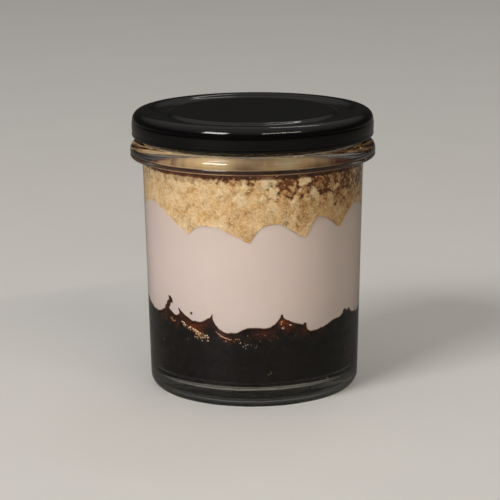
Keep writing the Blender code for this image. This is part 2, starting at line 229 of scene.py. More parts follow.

# Soft clumps in the crumbs at the glass: angle, height, radius and paleness, a painted light on the
# clump
CLUMPS = (
    (27.5, 0.0809, 0.0020, 0.24), (25.3, 0.0780, 0.0010, 0.22), (34.0, 0.0758, 0.0021, 0.34),
    (29.9, 0.0741, 0.0008, 0.26), (20.9, 0.0786, 0.0013, 0.02), (38.2, 0.0809, 0.0008, 0.08),
    (48.7, 0.0766, 0.0013, 0.06), (7.5, 0.0813, 0.0029, 0.24), (10.7, 0.0769, 0.0022, 0.24),
    (-6.5, 0.0784, 0.0019, 0.18), (-7.5, 0.0746, 0.0020, 0.20), (4.9, 0.0749, 0.0014, 0.12),
    (21.6, 0.0737, 0.0018, 0.16), (10.2, 0.0727, 0.0018, 0.16), (38.0, 0.0730, 0.0016, 0.05),
    (45.0, 0.0731, 0.0013, 0.02), (57.8, 0.0728, 0.0013, 0.04), (-18.2, 0.0764, 0.0016, 0.16),
    (-26.7, 0.0775, 0.0013, 0.10), (62.7, 0.0784, 0.0010, 0.02),
)

# Painted shade in the gaps between the clumps: angle, height, half width and depth of shade
CRUMB_GAPS = (
    (6.9, 0.0782, 0.0007, 0.95), (0.6, 0.0808, 0.0006, 0.95), (-3.9, 0.0770, 0.0006, 0.85),
    (14.1, 0.0762, 0.0008, 0.90), (26.5, 0.0750, 0.0010, 0.95), (49.8, 0.0705, 0.0006, 0.80),
    (48.5, 0.0648, 0.0008, 0.60), (60.6, 0.0690, 0.0006, 0.60), (15.7, 0.0785, 0.0009, 1.00),
    (17.8, 0.0817, 0.0016, 1.00), (40.9, 0.0769, 0.0016, 1.00), (42.2, 0.0785, 0.0013, 0.95),
    (56.3, 0.0762, 0.0013, 0.80), (-12.1, 0.0822, 0.0013, 0.60), (-7.4, 0.0812, 0.0010, 0.70),
    (-3.4, 0.0825, 0.0016, 0.80), (19.7, 0.0750, 0.0006, 0.70), (25.7, 0.0724, 0.0005, 0.60),
    (31.6, 0.0717, 0.0005, 0.50), (8.1, 0.0771, 0.0005, 0.80),
)

# Patches with brown specks: angle, height and half width
SPECKLED = (
    (-36.5, 0.0706, 0.0018), (-35.2, 0.0643, 0.0018), (-26.8, 0.0731, 0.0012),
    (-16.3, 0.0738, 0.0012), (-9.2, 0.0705, 0.0018), (-10.1, 0.0667, 0.0020),
    (-6.7, 0.0634, 0.0020), (-1.8, 0.0618, 0.0020), (2.8, 0.0729, 0.0012), (4.1, 0.0715, 0.0012),
    (7.0, 0.0681, 0.0016), (10.2, 0.0690, 0.0014), (17.8, 0.0697, 0.0015), (25.4, 0.0680, 0.0016),
    (29.8, 0.0670, 0.0014), (16.6, 0.0659, 0.0014), (-2.4, 0.0698, 0.0016),
    (36.0, 0.0678, 0.0014), (-48.7, 0.0766, 0.0014), (23.5, 0.0648, 0.0016),
    (-41.8, 0.0677, 0.0016), (-21.3, 0.0697, 0.0016),
)

# Flakes of the dark base that stand in the cream at the glass:
# angle, height, length, width and lean in degrees
FLAKES = (
    (-55.9, 0.0327, 0.0040, 0.0031, 34.0),
    (-54.1, 0.0346, 0.0050, 0.0022, 24.0),
    (-52.1, 0.0366, 0.0036, 0.0018, -38.0),
    (-44.0, 0.0325, 0.0040, 0.0013, -34.0),
    (-36.5, 0.0331, 0.0012, 0.0013, 0.0),
    (-23.6, 0.0324, 0.0022, 0.0011, 8.0),
    (15.5, 0.0329, 0.0024, 0.0012, -5.0),
    (28.9, 0.0294, 0.0018, 0.0016, 70.0),
    (59.7, 0.0308, 0.0022, 0.0020, 10.0),
    (64.5, 0.0306, 0.0022, 0.0022, -14.0),
    (73.8, 0.0288, 0.0024, 0.0014, 6.0),
    (-81.1, 0.0328, 0.0026, 0.0009, -14.0),
    (-73.3, 0.0314, 0.0014, 0.0010, 30.0),
)

# Glints in the syrup, wet beads with painted highlights: a line of (angle, height) points, how
# many, how bright, their size and how far they stray
GLINT_LINES = (
    (
        ((-43.5, 0.0295), (-38.5, 0.0279), (-33.8, 0.0272), (-29.4, 0.0258), (-26.1, 0.0250)),
        95, 0.70, 0.00027, 0.00040,
    ),
    (((-34.5, 0.0262), (-30.0, 0.0252), (-26.5, 0.0247)), 75, 0.62, 0.00026, 0.00065),
    (((-37.7, 0.0278), (-31.4, 0.0264), (-27.2, 0.0254)), 30, 1.00, 0.00027, 0.00026),
    (
        ((-21.5, 0.0275), (-18.5, 0.0261), (-15.7, 0.0253), (-12.5, 0.0249)),
        55, 0.95, 0.00017, 0.00006,
    ),
    (((-16.5, 0.0245), (-12.0, 0.0243), (-8.0, 0.0249)), 35, 0.42, 0.00026, 0.00060),
    (((-7.9, 0.0239), (-3.1, 0.0236), (1.0, 0.0229)), 15, 0.80, 0.00020, 0.00060),
    (((-2.1, 0.0258), (3.6, 0.0272), (8.0, 0.0251), (13.5, 0.0258)), 35, 0.52, 0.00014, 0.00090),
    (((15.1, 0.0313), (15.8, 0.0297), (16.3, 0.0276)), 30, 0.62, 0.00024, 0.00028),
    (((18.8, 0.0302), (21.5, 0.0296)), 4, 0.72, 0.00026, 0.00025),
    (((-57.2, 0.0290), (-56.2, 0.0283)), 6, 0.85, 0.00026, 0.00022),
    (((-52.3, 0.0300), (-48.2, 0.0293)), 13, 0.50, 0.00028, 0.00045),
    (((-30.6, 0.0295), (-29.5, 0.0292)), 3, 0.75, 0.00024, 0.00015),
)

# Single painted glints, by angle and height, and how many more the hidden side gets
GLINT_DOTS = (
    (-60.1, 0.0209), (-39.6, 0.0235), (-32.4, 0.0241), (23.3, 0.0257),
    (-4.1, 0.0222), (1.4, 0.0229), (9.1, 0.0134), (8.0, 0.0123), (9.3, 0.0127), (45.5, 0.0082),
)
HIDDEN_DOTS = 26

# Where the syrup is thin under the cream, with a painted glow: angle, half width and share
GLOWING_PARTS = (
    (-57.6, 7.0, 0.65), (-45.0, 7.0, 0.95), (-33.5, 7.0, 1.0), (-16.2, 6.0, 1.0),
    (2.1, 10.0, 0.50), (16.8, 5.0, 0.85), (27.2, 5.0, 0.45), (37.7, 8.0, 0.20),
)

# Where the topping is in clumps: angle and half width in front and behind, and the
# height where that begins and the rise over which it comes
CLUMPED_FRONT = (26.0, 33.0)
CLUMPED_BACK = (172.0, 48.0)
CLUMPED_START = 0.0690
CLUMPED_RISE = 0.0095

# Where the crumbs lie open, in painted shade from the lid and the bead: the angles between which
# they do in front, each with its fade, and the same behind as angle and half width
OPEN_FROM = (9.0, 8.0)
OPEN_TO = (104.0, 20.0)
OPEN_BACK = (172.0, 36.0)
OPEN_START = 0.0750

# Where they lie open and in painted shade just under the bead: angle, half width, share, the
# height where that begins and the rise over which it comes
OPEN_EDGES = (
    (-60.0, 40.0, 0.55, 0.0778, 0.0030), (86.0, 20.0, 0.60, 0.0735, 0.0060),
    (-97.0, 17.0, 0.95, 0.0762, 0.0022), (97.0, 19.0, 0.95, 0.0762, 0.0022),
)

# Colours, as linear red, green and blue. The stops of a ramp begin with their place
BISCUIT_STOPS = (
    (0.05, 0.43, 0.185, 0.058), (0.30, 0.67, 0.390, 0.155),
    (0.55, 0.82, 0.585, 0.310), (0.90, 0.90, 0.740, 0.500),
)
# Painted shade in the creases between the crumbs' grains
CREASE_SHADE = (0.34, 0.165, 0.045)
SPECK_BROWN = (0.22, 0.095, 0.022)
# Painted shade in the crumbs' gaps and hollows, brown and nearly black
HOLLOW_SHADE = (0.108, 0.028, 0.007)
HOLLOW_DEEP_SHADE = (0.014, 0.005, 0.002)
CREAM_SHADES = ((0.715, 0.603, 0.570), (0.755, 0.648, 0.615))
CREAM_FLECK = (0.62, 0.49, 0.43)
STAIN_STOPS = (
    (0.05, 0.73, 0.620, 0.585), (0.28, 0.50, 0.300, 0.170),
    (0.50, 0.20, 0.066, 0.018), (0.80, 0.05, 0.012, 0.005),
)
# Painted glow of the thin syrup under the cream, from near-black to amber
SYRUP_GLOW_STOPS = (
    (0.04, 0.0042, 0.0030, 0.0034), (0.24, 0.0230, 0.0054, 0.0034),
    (0.50, 0.0900, 0.0190, 0.0045), (0.88, 0.3300, 0.0780, 0.0110),
)
SYRUP_FLECK = (0.020, 0.010, 0.009)
FLAKE_SHADES = ((0.011, 0.0036, 0.0020), (0.075, 0.024, 0.0065))
# Painted highlights of the syrup's glints, from dark amber to near white
GLINT_STOPS = (
    (0.15, 0.030, 0.0065, 0.0022), (0.42, 0.200, 0.0520, 0.0090),
    (0.70, 0.700, 0.300, 0.085), (0.95, 1.000, 0.800, 0.560),
)
LACQUER_SHADES = ((0.0022, 0.0020, 0.0024), (0.0042, 0.0036, 0.0038))
GLASS_TINT = (0.975, 0.985, 0.980)
GLASS_SHADOW = (0.94, 0.95, 0.945)
FLOOR_SHADES = ((0.70, 0.69, 0.675), (0.74, 0.73, 0.715))
FLOOR_REFLECTED = (0.19, 0.18, 0.16)
AIR_COLOUR = (1.0, 0.965, 0.92)

# The air's glow, low down and overhead, and the directions between which it grows
AIR_GLOW = (0.026, 0.50)
AIR_RISE = (0.30, 0.90)

# Soft boxes: name, angle, elevation, distance, size, power and colour
SOFT_BOXES = (
    ("key_light", -40.0, 38.0, 2.00, (0.70, 0.52), 22.2, (1.0, 0.965, 0.925)),
    ("side_strip", 31.0, 40.0, 2.20, (1.30, 0.060), 9.5, (1.0, 0.925, 0.77)),
    ("rear_strip", 160.0, 55.0, 2.20, (0.62, 0.16), 2.0, (1.0, 0.98, 0.96)),
)
SOFT_BOX_AIM = 0.05
FLOOR_SIZE = 16.0

# Camera, from the photograph's perspective
CAMERA_DISTANCE = 0.8000
CAMERA_TILT = 12.58
CAMERA_AIM = 0.0480
CAMERA_LENS = 160.0
CAMERA_SENSOR = 36.0
CAMERA_ROLL = 0.0065
PICTURE_SHIFT = (-0.0070, 0.0049)


def deselect_all():
    """Nothing selected, in object mode."""
    if bpy.context.object and bpy.context.object.mode != "OBJECT":
        bpy.ops.object.mode_set(mode="OBJECT")
    bpy.ops.object.select_all(action="DESELECT")


def select_only(item):
    """Make one object the selected and active one."""
    deselect_all()
    item.select_set(True)
    bpy.context.view_layer.objects.active = item


def angles_of(points):
    """The angles of an array of points from the front, in degrees."""
    return np.degrees(np.arctan2(points[:, 0], -points[:, 1]))


def spread_round(radii, angles, heights):
    """An array of points from radii, angles and heights."""
    turns = np.radians(angles)
    columns = np.broadcast_arrays(radii * np.sin(turns), -radii * np.cos(turns), heights)
    return np.stack(columns, axis=-1)


def ease(share):
    """Ease an array from 0 to 1."""
    share = np.clip(share, 0.0, 1.0)
    return share * share * (3.0 - 2.0 * share)


def degrees_apart(first, second):
    """How far apart angles are, in degrees, with the sign."""
    return (first - second + 180.0) % 360.0 - 180.0


def bell(angles, centre, half_width):
    """A rounded hump at an angle, 1 at its middle."""
    return np.exp(-((degrees_apart(angles, centre) / half_width) ** 2))


def around(radius, angle, height):
    """A point at an angle from the front."""
    turn = math.radians(angle)
    return Vector((radius * math.sin(turn), -radius * math.cos(turn), height))


def inner_radius(height):
    """Radius of the jar's inner wall, which opens slightly towards the mouth."""
    share = (height - INNER_LOW_HEIGHT) / (RIM_TOP - INNER_LOW_HEIGHT)
    return INNER_LOW_RADIUS + (MOUTH_RADIUS - INNER_LOW_RADIUS) * share


def outer_radius(height):
    """Radius of the jar's outer wall, which opens slightly towards the bead."""
    top = BEAD_BOTTOM - BEAD_FILLET
    taper = (BODY_TOP_RADIUS - BODY_LOW_RADIUS) / (top - HEEL_RADIUS)
    return BODY_TOP_RADIUS - (top - height) * taper


def arc(centre, radius, start, end, segments):
    """Points on an arc in the (radius, height) plane, angles in degrees from outward."""
    points = []
    for step in range(segments + 1):
        angle = math.radians(start + (end - start) * step / segments)
        points.append(
            (centre[0] + radius * math.cos(angle), centre[1] + radius * math.sin(angle))
        )
    return points


def soften(corners, segments):
    """Round the corners of a section: each corner is (radius, height, bend length)."""
    points = []
    for number, (x, z, bend) in enumerate(corners):
        here = Vector((x, z))
        if bend == 0.0 or number in (0, len(corners) - 1):
            points.append((x, z))
            continue
        before = Vector(corners[number - 1][:2])
        after = Vector(corners[number + 1][:2])
        back = here + (before - here).normalized() * min(bend, (before - here).length / 2)
        ahead = here + (after - here).normalized() * min(bend, (after - here).length / 2)
        for step in range(segments + 1):
            share = step / segments
            spot = (1 - share) ** 2 * back + 2 * share * (1 - share) * here
            spot += share * share * ahead
            points.append((spot.x, spot.y))
    return points


def drop_repeats(points):
    """The section without points that lie on the one before."""
    kept = [points[0]]
    for point in points[1:]:
        if math.dist(point, kept[-1]) > 1.0e-6:
            kept.append(point)
    return kept


def draw_section(name, points):
    """Draw a section in edit mode: a start point, extruded from point to point."""
    deselect_all()
    points = drop_repeats(points)
    start = (0.0, -points[0][0], points[0][1])
    bpy.ops.mesh.primitive_plane_add(size=0.001, location=start)
    item = bpy.context.object
    item.name = name
    item.data.name = name
    bpy.ops.object.mode_set(mode="EDIT")
    bpy.ops.mesh.merge(type="CENTER")
    for before, after in zip(points, points[1:]):
        step = (0.0, before[0] - after[0], after[1] - before[1])
        bpy.ops.mesh.extrude_region_move(TRANSFORM_OT_translate={"value": step})
    return item


def spin_section(name, points, steps):
    """Turn a drawn section all the way round the jar's axis, with its place in its mesh."""
    item = draw_section(name, points)
    bpy.ops.mesh.select_all(action="SELECT")
    bpy.ops.mesh.spin(
        steps=steps, angle=math.tau, center=(0.0, 0.0, 0.0), axis=(0.0, 0.0, 1.0)
    )
    bpy.ops.mesh.select_all(action="SELECT")
    bpy.ops.mesh.remove_doubles(threshold=2.0e-6)
    bpy.ops.mesh.normals_make_consistent(inside=False)
    bpy.ops.object.mode_set(mode="OBJECT")
    select_only(item)
    bpy.ops.object.transform_apply(location=True, rotation=True, scale=True)
    return item


def read_points(item):
    """The vertices of a mesh as an array."""
    points = np.zeros(len(item.data.vertices) * 3)
    item.data.vertices.foreach_get("co", points)
    return points.reshape(-1, 3)


def write_points(item, points):
    """Give a mesh its moved vertices back."""
    item.data.vertices.foreach_set("co", points.ravel())
    item.data.update()


def add_marks(item, name, values):
    """Keep one number for each vertex, for a material to read."""
    marks = item.data.attributes.new(name, "FLOAT", "POINT")
    marks.data.foreach_set("value", np.asarray(values, np.float32))


def finish_piece(item, sharp, material):
    """Shade smooth, with edges sharper than this kept, and give the piece its finish."""
    select_only(item)
    bpy.ops.object.shade_smooth_by_angle(angle=math.radians(sharp))
    item.data.materials.append(material)


# Node helpers


def put(tree, kind, **values):
    """Add a node. Each value sets or feeds the input of that name."""
    return fill_in(tree, tree.nodes.new(kind), values)


def fill_in(tree, node, values):
    """Set or feed the inputs of these names."""
    for key, value in values.items():
        feed(tree, node.inputs[key.replace("_", " ")], value)
    return node


def feed(tree, socket, value):
    """Link a socket to an input, or set the input to a plain value or colour."""
    if isinstance(value, bpy.types.NodeSocket):
        tree.links.new(value, socket)
    else:
        socket.default_value = (*value, 1.0) if socket.type == "RGBA" else value


def sum_of(tree, operation, first, second, third=None):
    """A Math node's result."""
    made = tree.nodes.new("ShaderNodeMath")
    made.operation = operation
    feed(tree, made.inputs[0], first)
    feed(tree, made.inputs[1], second)
    if third is not None:
        feed(tree, made.inputs[2], third)
    return made.outputs[0]


def fit_range(tree, value, low, high, to_low=0.0, to_high=1.0):
    """Stretch a value from one range to another, held at its ends."""
    made = tree.nodes.new("ShaderNodeMapRange")
    feed(tree, made.inputs[0], value)
    for number, limit in enumerate((low, high, to_low, to_high)):
        feed(tree, made.inputs[number + 1], limit)
    return made.outputs[0]


def mix_colours(tree, share, first, second):
    """Two colours mixed by a share."""
    made = tree.nodes.new("ShaderNodeMix")
    made.data_type = "RGBA"
    for number, value in ((0, share), (6, first), (7, second)):
        feed(tree, made.inputs[number], value)
    return made.outputs[2]


def colour_ramp(tree, value, stops):
    """Colours along a ramp: each stop is (place, red, green, blue)."""
    made = tree.nodes.new("ShaderNodeValToRGB")
    feed(tree, made.inputs[0], value)
    points = made.color_ramp.elements
    while len(points) < len(stops):
        points.new(0.5)
    for point, (place, *colour) in zip(points, stops):
        point.position = place
        point.color = (*colour, 1.0)
    return made.outputs[0]


def new_group(name, inputs, outputs):
    """A shader node group that reads a Place and these numbers. Returns it and its ends."""
    tree = bpy.data.node_groups.new(name, "ShaderNodeTree")
    tree.interface.new_socket("Place", in_out="INPUT", socket_type="NodeSocketVector")
    for label, value in inputs.items():
        socket = tree.interface.new_socket(label, in_out="INPUT", socket_type="NodeSocketFloat")
        socket.default_value = value
    for label, kind in outputs.items():
        tree.interface.new_socket(label, in_out="OUTPUT", socket_type=kind)
    entry = tree.nodes.new("NodeGroupInput")
    way_out = tree.nodes.new("NodeGroupOutput")
    return tree, entry.outputs, way_out.inputs


def use_group(tree, group, **values):
    """Place a node group in a material. Returns its outputs."""
    made = tree.nodes.new("ShaderNodeGroup")
    made.node_tree = group
    return fill_in(tree, made, values).outputs


def new_material(name, **values):
    """A Principled material with plain values. Returns it, its tree and its shader."""
    material = bpy.data.materials.new(name)
    material.use_nodes = True
    tree = material.node_tree
    return material, tree, fill_in(tree, tree.nodes["Principled BSDF"], values)


def object_place(tree):
    """Object coordinates."""
    return tree.nodes.new("ShaderNodeTexCoord").outputs["Object"]


def marks_of(tree, name):
    """The numbers kept on the mesh under this name."""
    made = tree.nodes.new("ShaderNodeAttribute")
    made.attribute_name = name
    return made.outputs["Fac"]


def bump(tree, shader, height, depth, strength):
    """Raise the surface by a height of 0 to 1 times a depth in metres."""
    made = put(tree, "ShaderNodeBump", Strength=strength, Distance=depth, Height=height)
    tree.links.new(made.outputs[0], shader.inputs["Normal"])


def make_mottle():
    """Soft patches of light and dark, from 0 to 1, so many to the metre."""
    tree, given, out = new_group(
        "soft_mottle", {"Patches per metre": 200.0, "Contrast": 1.0}, {"Value": "NodeSocketFloat"}
    )
    cloud = put(
        tree, "ShaderNodeTexNoise", Vector=given["Place"], Scale=given["Patches per metre"],
        Detail=4.0, Roughness=0.55,
    )
    centred = sum_of(tree, "SUBTRACT", cloud.outputs["Fac"], 0.5)
    scaled = sum_of(tree, "MULTIPLY_ADD", centred, given["Contrast"], 0.5)
    tree.links.new(fit_range(tree, scaled, 0.0, 1.0), out["Value"])
    return tree


def patches(tree, mottle, count, contrast):
    """Soft patches over the object, from 0 to 1: how many to the metre and how strong."""
    return use_group(
        tree, mottle, Place=object_place(tree), Patches_per_metre=count, Contrast=contrast
    )["Value"]


def make_handling():
    """The roughness of a shiny surface with faint smudges and hairline scratches."""
    tree, given, out = new_group(
        "handling_marks", {"Lowest": 0.06, "Highest": 0.20}, {"Roughness": "NodeSocketFloat"}
    )
    smear = put(
        tree, "ShaderNodeTexNoise", Vector=given["Place"], Scale=95.0, Detail=6.0,
        Roughness=0.62, Distortion=0.6,
    )
    hazy = fit_range(tree, smear.outputs["Fac"], 0.46, 0.66)
    streaked = put(
        tree, "ShaderNodeMapping", Vector=given["Place"], Rotation=(0.0, 0.0, 0.6),
        Scale=(260.0, 5200.0, 900.0),
    )
    hair = put(tree, "ShaderNodeTexNoise", Vector=streaked.outputs[0], Scale=1.0, Detail=2.0)
    scratch = fit_range(tree, hair.outputs["Fac"], 0.70, 0.76)
    share = sum_of(tree, "MAXIMUM", hazy, sum_of(tree, "MULTIPLY", scratch, 0.6))
    rough = fit_range(tree, share, 0.0, 1.0, given["Lowest"], given["Highest"])
    tree.links.new(rough, out["Roughness"])
    return tree


def make_biscuit():
    """Baked biscuit: small crumbs of uneven tone with specks, with painted shade in their creases
    and gaps.
    """
    tree, given, out = new_group(
        "baked_biscuit",
        {"Tone": 0.5, "Depth": 0.0, "Grain": 1.0, "Loose": 0.0},
        {"Colour": "NodeSocketColor", "Height": "NodeSocketFloat"},
    )
    place, strength = given["Place"], given["Grain"]
    bake = put(tree, "ShaderNodeTexNoise", Vector=place, Scale=210.0, Detail=3.0).outputs["Fac"]
    grain = put(
        tree, "ShaderNodeTexNoise", Vector=place, Scale=2300.0, Detail=3.0, Roughness=0.65
    ).outputs["Fac"]
    cluster = put(tree, "ShaderNodeTexNoise", Vector=place, Scale=330.0, Detail=2.0).outputs["Fac"]
    cells = put(tree, "ShaderNodeTexVoronoi", Vector=place, Scale=GRAINS_PER_METRE)
    creases = put(tree, "ShaderNodeTexVoronoi", Vector=place, Scale=GRAINS_PER_METRE)
    creases.feature = "DISTANCE_TO_EDGE"

    # Each grain's own tone, then the grain of its surface, then broad baking
    own = put(tree, "ShaderNodeSeparateColor", Color=cells.outputs["Color"]).outputs[0]
    uneven = sum_of(tree, "MULTIPLY", sum_of(tree, "SUBTRACT", own, 0.5), 0.34)
    rough = sum_of(tree, "SUBTRACT", grain, 0.5)
    uneven = sum_of(tree, "MULTIPLY_ADD", rough, 0.70, uneven)
    tone = sum_of(tree, "MULTIPLY_ADD", uneven, strength, given["Tone"])
    baked = sum_of(tree, "SUBTRACT", bake, 0.5)
    tone = sum_of(tree, "MULTIPLY_ADD", baked, 0.8, tone)
    colour = colour_ramp(tree, tone, BISCUIT_STOPS)

    # Painted shade in the creases between the grains, and brown specks, more of both where the
    # crumbs lie loose
    loose = sum_of(tree, "ADD", fit_range(tree, cluster, 0.50, 0.68, 0.0, 0.8), given["Loose"])
    crease_shade = fit_range(tree, creases.outputs["Distance"], 0.02, 0.14, 1.0, 0.0)
    crease_shade = sum_of(tree, "MULTIPLY", crease_shade, fit_range(tree, loose, 0.0, 1.0, 0.03, 0.40))
    crease_shade = sum_of(tree, "MULTIPLY", crease_shade, strength)
    colour = mix_colours(tree, crease_shade, colour, CREASE_SHADE)
    speck = fit_range(tree, grain, 0.575, 0.65)
    speck = sum_of(tree, "MULTIPLY", speck, fit_range(tree, loose, 0.10, 0.8, 0.0, 0.78))
    speck = sum_of(tree, "MULTIPLY", speck, strength)
    colour = mix_colours(tree, speck, colour, SPECK_BROWN)

    # Painted shade: a value of 0 to 1 darkens towards a shaded brown, and 1 to 2 towards a nearly
    # black shade
    colour = mix_colours(tree, given["Depth"], colour, HOLLOW_SHADE)
    deep = sum_of(tree, "SUBTRACT", given["Depth"], 1.0)
    colour = mix_colours(tree, deep, colour, HOLLOW_DEEP_SHADE)
    tree.links.new(colour, out["Colour"])
    height = sum_of(tree, "SUBTRACT", grain, sum_of(tree, "MULTIPLY", crease_shade, 0.7))
    tree.links.new(height, out["Height"])
    return tree


def glass_material(mottle):
    """Clear flint glass with the faint waves of a pressed jar."""
    material, tree, shader = new_material(
        "clear_flint_glass", Base_Color=GLASS_TINT, Roughness=0.0, IOR=1.50,
        Transmission_Weight=1.0,
    )
    bump(tree, shader, patches(tree, mottle, 60.0, 1.2), 0.00005, 0.5)
    clear = put(tree, "ShaderNodeBsdfTransparent", Color=GLASS_SHADOW)
    lamp_ray = tree.nodes.new("ShaderNodeLightPath").outputs["Is Shadow Ray"]
    both = tree.nodes.new("ShaderNodeMixShader")
    for socket, result in zip(both.inputs, (lamp_ray, shader.outputs[0], clear.outputs[0])):
        tree.links.new(result, socket)
    tree.links.new(both.outputs[0], tree.nodes["Material Output"].inputs["Surface"])
    return material


def lacquer_material(mottle, handling):
    """Glossy black lacquer on pressed tinplate, lightly handled."""
    material, tree, shader = new_material("black_lid_lacquer", IOR=1.42)
    place = object_place(tree)
    colour = mix_colours(tree, patches(tree, mottle, 140.0, 1.4), *LACQUER_SHADES)
    tree.links.new(colour, shader.inputs["Base Color"])
    marks = use_group(tree, handling, Place=place, Lowest=0.07, Highest=0.17)
    tree.links.new(marks["Roughness"], shader.inputs["Roughness"])
    peel = put(tree, "ShaderNodeTexNoise", Vector=place, Scale=700.0, Detail=2.0)
    bump(tree, shader, peel.outputs["Fac"], 0.000012, 0.6)
    return material


def cream_material(mottle):
    """Set cream cheese filling, stained where the dark base touches it."""
    material, tree, shader = new_material(
        "set_cream", Roughness=0.42, IOR=1.45, Subsurface_Weight=0.30,
        Subsurface_Radius=(1.0, 0.62, 0.40), Subsurface_Scale=0.0030,
    )
    soft = patches(tree, mottle, 55.0, 1.6)
    colour = mix_colours(tree, soft, *CREAM_SHADES)
    speck = fit_range(tree, patches(tree, mottle, 900.0, 2.4), 0.80, 0.95, 0.0, 0.22)
    colour = mix_colours(tree, speck, colour, CREAM_FLECK)
    near = marks_of(tree, "stain")
    uneven = sum_of(tree, "MULTIPLY_ADD", patches(tree, mottle, 700.0, 2.2), 0.5, -0.25)
    stain = sum_of(tree, "ADD", near, uneven)
    stain = sum_of(tree, "MULTIPLY", stain, fit_range(tree, near, 0.0, 0.15))
    tinge = colour_ramp(tree, stain, STAIN_STOPS)
    colour = mix_colours(tree, fit_range(tree, stain, 0.04, 0.30), colour, tinge)
    tree.links.new(colour, shader.inputs["Base Color"])
    bump(tree, shader, soft, 0.00020, 0.5)
    return material


def base_material(mottle):
    """Near-black syrup base; where it thins under the cream, a painted red-brown and amber glow."""
    material, tree, shader = new_material("dark_syrup_base", IOR=1.45, Specular_IOR_Level=0.12)
    patchy = patches(tree, mottle, 330.0, 2.2)
    broad = patches(tree, mottle, 75.0, 2.6)
    # Painted glow where the syrup is thin under the cream, light let through from the cream
    thin = marks_of(tree, "rim")
    for unevenness in (
        fit_range(tree, patchy, 0.15, 0.85, 0.45, 1.1),
        fit_range(tree, broad, 0.2, 0.75, 0.35, 1.15),
    ):
        thin = sum_of(tree, "MULTIPLY", thin, unevenness)
    colour = colour_ramp(tree, thin, SYRUP_GLOW_STOPS)
    fleck = fit_range(tree, patches(tree, mottle, 1500.0, 2.6), 0.72, 0.95, 0.0, 0.35)
    colour = mix_colours(tree, fleck, colour, SYRUP_FLECK)
    tree.links.new(colour, shader.inputs["Base Color"])
    rough = fit_range(tree, patchy, 0.2, 0.8, 0.14, 0.38)
    tree.links.new(rough, shader.inputs["Roughness"])
    bump(tree, shader, patchy, 0.00015, 0.4)
    return material


def flake_material(mottle):
    """Dark brown flakes of the base, lighter where they are thin."""
    material, tree, shader = new_material(
        "dark_flakes", Roughness=0.6, IOR=1.45, Specular_IOR_Level=0.06
    )
    patchy = patches(tree, mottle, 900.0, 2.4)
    tree.links.new(mix_colours(tree, patchy, *FLAKE_SHADES), shader.inputs["Base Color"])
    bump(tree, shader, patchy, 0.00012, 0.6)
    return material


def crumb_material(name, biscuit, packed):
    """Biscuit crumbs, each with its own tone; packed ones get painted shade in their gaps."""
    material, tree, shader = new_material(
        name, Roughness=0.85, IOR=1.4, Specular_IOR_Level=0.25
    )
    given = use_group(
        tree,
        biscuit,
        Place=object_place(tree),
        Tone=marks_of(tree, "tone"),
        Depth=marks_of(tree, "hollow_shade") if packed else 0.0,
        Grain=marks_of(tree, "grain") if packed else 0.8,
        Loose=marks_of(tree, "loose") if packed else 0.0,
    )
    tree.links.new(given["Colour"], shader.inputs["Base Color"])
    bump(tree, shader, given["Height"], 0.00020, 0.9)
    return material


def glint_material(mottle):
    """Wet beads of syrup, glossy, their colour a painted highlight."""
    material, tree, shader = new_material("syrup_beads", Roughness=0.10, IOR=1.5)
    patchy = patches(tree, mottle, 1400.0, 1.6)
    tone = sum_of(tree, "MULTIPLY_ADD", patchy, 0.4, marks_of(tree, "tone"))
    colour = colour_ramp(tree, sum_of(tree, "SUBTRACT", tone, 0.2), GLINT_STOPS)
    tree.links.new(colour, shader.inputs["Base Color"])
    return material


def floor_material(mottle):
    """Plain pale table surface that throws little of its light on the jar."""
    material, tree, shader = new_material("pale_surface", Roughness=0.6)
    colour = mix_colours(tree, patches(tree, mottle, 14.0, 1.0), *FLOOR_SHADES)
    seen = tree.nodes.new("ShaderNodeLightPath").outputs["Is Camera Ray"]
    colour = mix_colours(tree, seen, FLOOR_REFLECTED, colour)
    tree.links.new(colour, shader.inputs["Base Color"])
    return material


# Jar and lid


